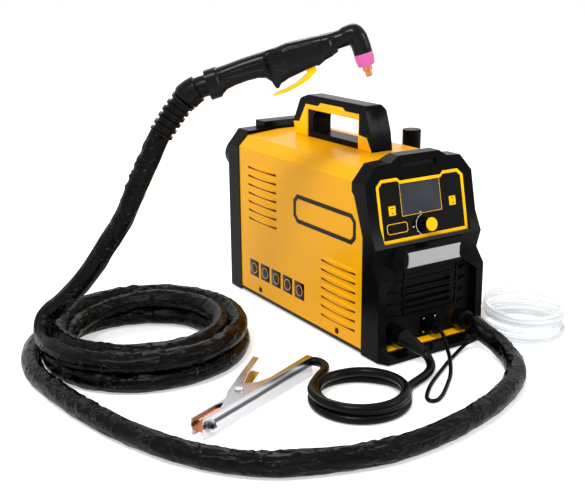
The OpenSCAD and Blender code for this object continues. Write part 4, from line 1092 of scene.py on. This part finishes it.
def torchHalf(name, side, node):
    # rings of points along one half, each from the trigger slot round to the top seam
    corners = [a for key in ("top", "bottom", "half") for a, _ in torchShape[key]]
    slot, seam, steps = torchShape["slot"], torchShape["seam"], torchShape["around"]
    cuts = [a + d for a in (*slot["a"], slot["deepFrom"]) for d in (-0.05, 0.05)]
    stations = sorted({*np.arange(0, max(corners) + 0.1, torchShape["step"]), *corners, *cuts})
    points = []
    for a in stations:
        hi, lo, half = track("top", a), track("bottom", a), track("half", a)
        mid, tall = (hi + lo) / 2, (hi - lo) / 2
        wide = min(slot["half"], half * slot["share"])
        start = -math.acos((wide / half) ** (1 / torchShape["sideCrown"]))
        foot = mid - tall * abs(math.sin(start)) ** torchShape["topCrown"]
        roof = max(foot, track("roof", a)) if slot["a"][0] <= a <= slot["a"][1] else foot
        points += [onTorch(a, side * seam, roof), onTorch(a, side * (wide + slot["draft"]), roof)]
        for k in range(steps + 1):
            t = start + (math.pi / 2 - start) * k / steps
            y = half * max(0.0, math.cos(t)) ** torchShape["sideCrown"]
            b = mid + tall * math.copysign(abs(math.sin(t)) ** torchShape["topCrown"], math.sin(t))
            points.append(onTorch(a, side * (y + seam), b))
    n = steps + 3
    faces = [(i * n + k, i * n + (k + 1) % n, (i + 1) * n + (k + 1) % n, (i + 1) * n + k)
             for i in range(len(stations) - 1) for k in range(n)]
    faces += [tuple(range(n - 1, -1, -1)), tuple((len(stations) - 1) * n + k for k in range(n))]
    piece = addMesh(name, points, faces, "torch_black", replaces=[node])
    outward(piece)
    smoothByAngle(piece, 38)


torchHalf("torchHalfNear", -1, "torch_handle_left")
torchHalf("torchHalfFar", 1, "torch_handle_right")
torchScrews = {"at": [(101, 18.6), (136, 15.8)], "y": -3, "aim": (0, -0.25, 1), "radius": 2.6, "height": 1.6}
grown("torchScrews", "disc", [onTorch(a, torchScrews["y"], b) for a, b in torchScrews["at"]], "gloss_black",
      torchAt.to_3x3() @ Vector(torchScrews["aim"]), Width=torchScrews["radius"] * mm,
      Height=torchScrews["height"] * mm)

moulding = {"upper": [(18, 5.4), (30, 6.6), (46, 7.2), (64, 6.8), (85, 1.5), (105, -4.8), (127, -10.5)],
            "lower": [(18, 3.0), (34, 1.2), (52, 0.4), (70, -2.4), (88, -9.5), (106, -13.2)],
            "front": [(64, 6.8), (76, 12.6), (92, 13.8), (118, 12.2), (146, 9.5)], "thick": 0.75, "step": 2.5,
            "highest": 0.98}
for label in ("upper", "lower", "front"):
    for side, end in ((-1, "Near"), (1, "Far")):
        steps, _ = spline([Vector((a, 0, b)) for a, b in moulding[label]], moulding["step"])
        path = []
        for q in steps:
            hi, lo, half = track("top", q.x), track("bottom", q.x), track("half", q.x)
            up = abs((q.z - (hi + lo) / 2) / ((hi - lo) / 2)) ** (1 / torchShape["topCrown"])
            up = min(moulding["highest"], up)
            path.append(onTorch(q.x, side * half * (1 - up * up) ** (torchShape["sideCrown"] / 2), q.z))
        tube(f"{label}Moulding{end}", path, even(moulding["thick"]), "torch_black", 8)

# radius and profile pairs are (metres along, mm)
elbow = {"line": [(143, 0, 5), (153, 0, 5), (163, 0, 5.4), (170, 0, 6.4), (174.6, 0, 5.2), (177.4, 0, 0.8),
                  (179, 0, -6), (179.5, 0, -12), (179.5, 0, -17.6)],
         "radius": [(0, 10.3), (0.018, 10.3), (0.026, 11.2), (0.031, 12.4), (0.037, 11.8), (0.045, 11),
                    (0.06, 10.8)]}
line, _ = spline([onTorch(*p) for p in elbow["line"]], 0.0008)
tube("torchElbow", line, lambda far: float(np.interp(far, *zip(*elbow["radius"]))) * mm, "torch_black", 36,
     replaces=["torch_head"])

relief = {"line": [(0, 0, 0), (-11, 0, -0.2), (-24, 0, -4), (-36, 0, -11), (-47, 0, -18.5), (-58, 0, -27),
                   (-70, 0, -37)],
          "profile": [(0, 12.4), (0.012, 12.4), (0.0125, 15.4), (0.029, 16.4), (0.031, 15.6), (0.036, 12.2),
                      (0.08, 11.6), (0.085, 12.6)],
          "ribFrom": 0.034, "ribPitch": 0.0088, "ribHigh": 2.7}


def reliefRadius(far):
    r = np.interp(far, *zip(*relief["profile"]))
    if far > relief["ribFrom"]:
        r += relief["ribHigh"] * (math.sin((far - relief["ribFrom"]) * 2 * math.pi / relief["ribPitch"]) > -0.1)
    return float(r) * mm


line, _ = spline([onTorch(*p) for p in relief["line"]], 0.0009)
leadRelief = tube("torchRelief", line, reliefRadius, "rubber", 32, replaces=["torch_relief"])
smoothByAngle(leadRelief, 40)
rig.cord(sleeve, exit=sleeveLine[0], length=round(sleeveLength, 3), diameter=torchSleeve["diameter"], far_end="tool",
        stiffness="medium", lay="loose", path=sleeveLine, with_pieces=[leadNut, leadRelief])
collar = {"at": (4.5, 9.5), "b": 0.2, "radius": 16.2, "thick": 1.1}
grown("torchCollar", "ring", [onTorch(a, 0, collar["b"]) for a in collar["at"]], "torch_black",
      torchAt.to_3x3() @ Vector((1, 0, 0)), Width=collar["radius"] * mm, Height=collar["thick"] * mm)
print("torch moulded")

visualBox = [list(p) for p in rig.bounds()]
json.dump({"cad": cadBox, "visual": visualBox}, open("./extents.json", "w"))
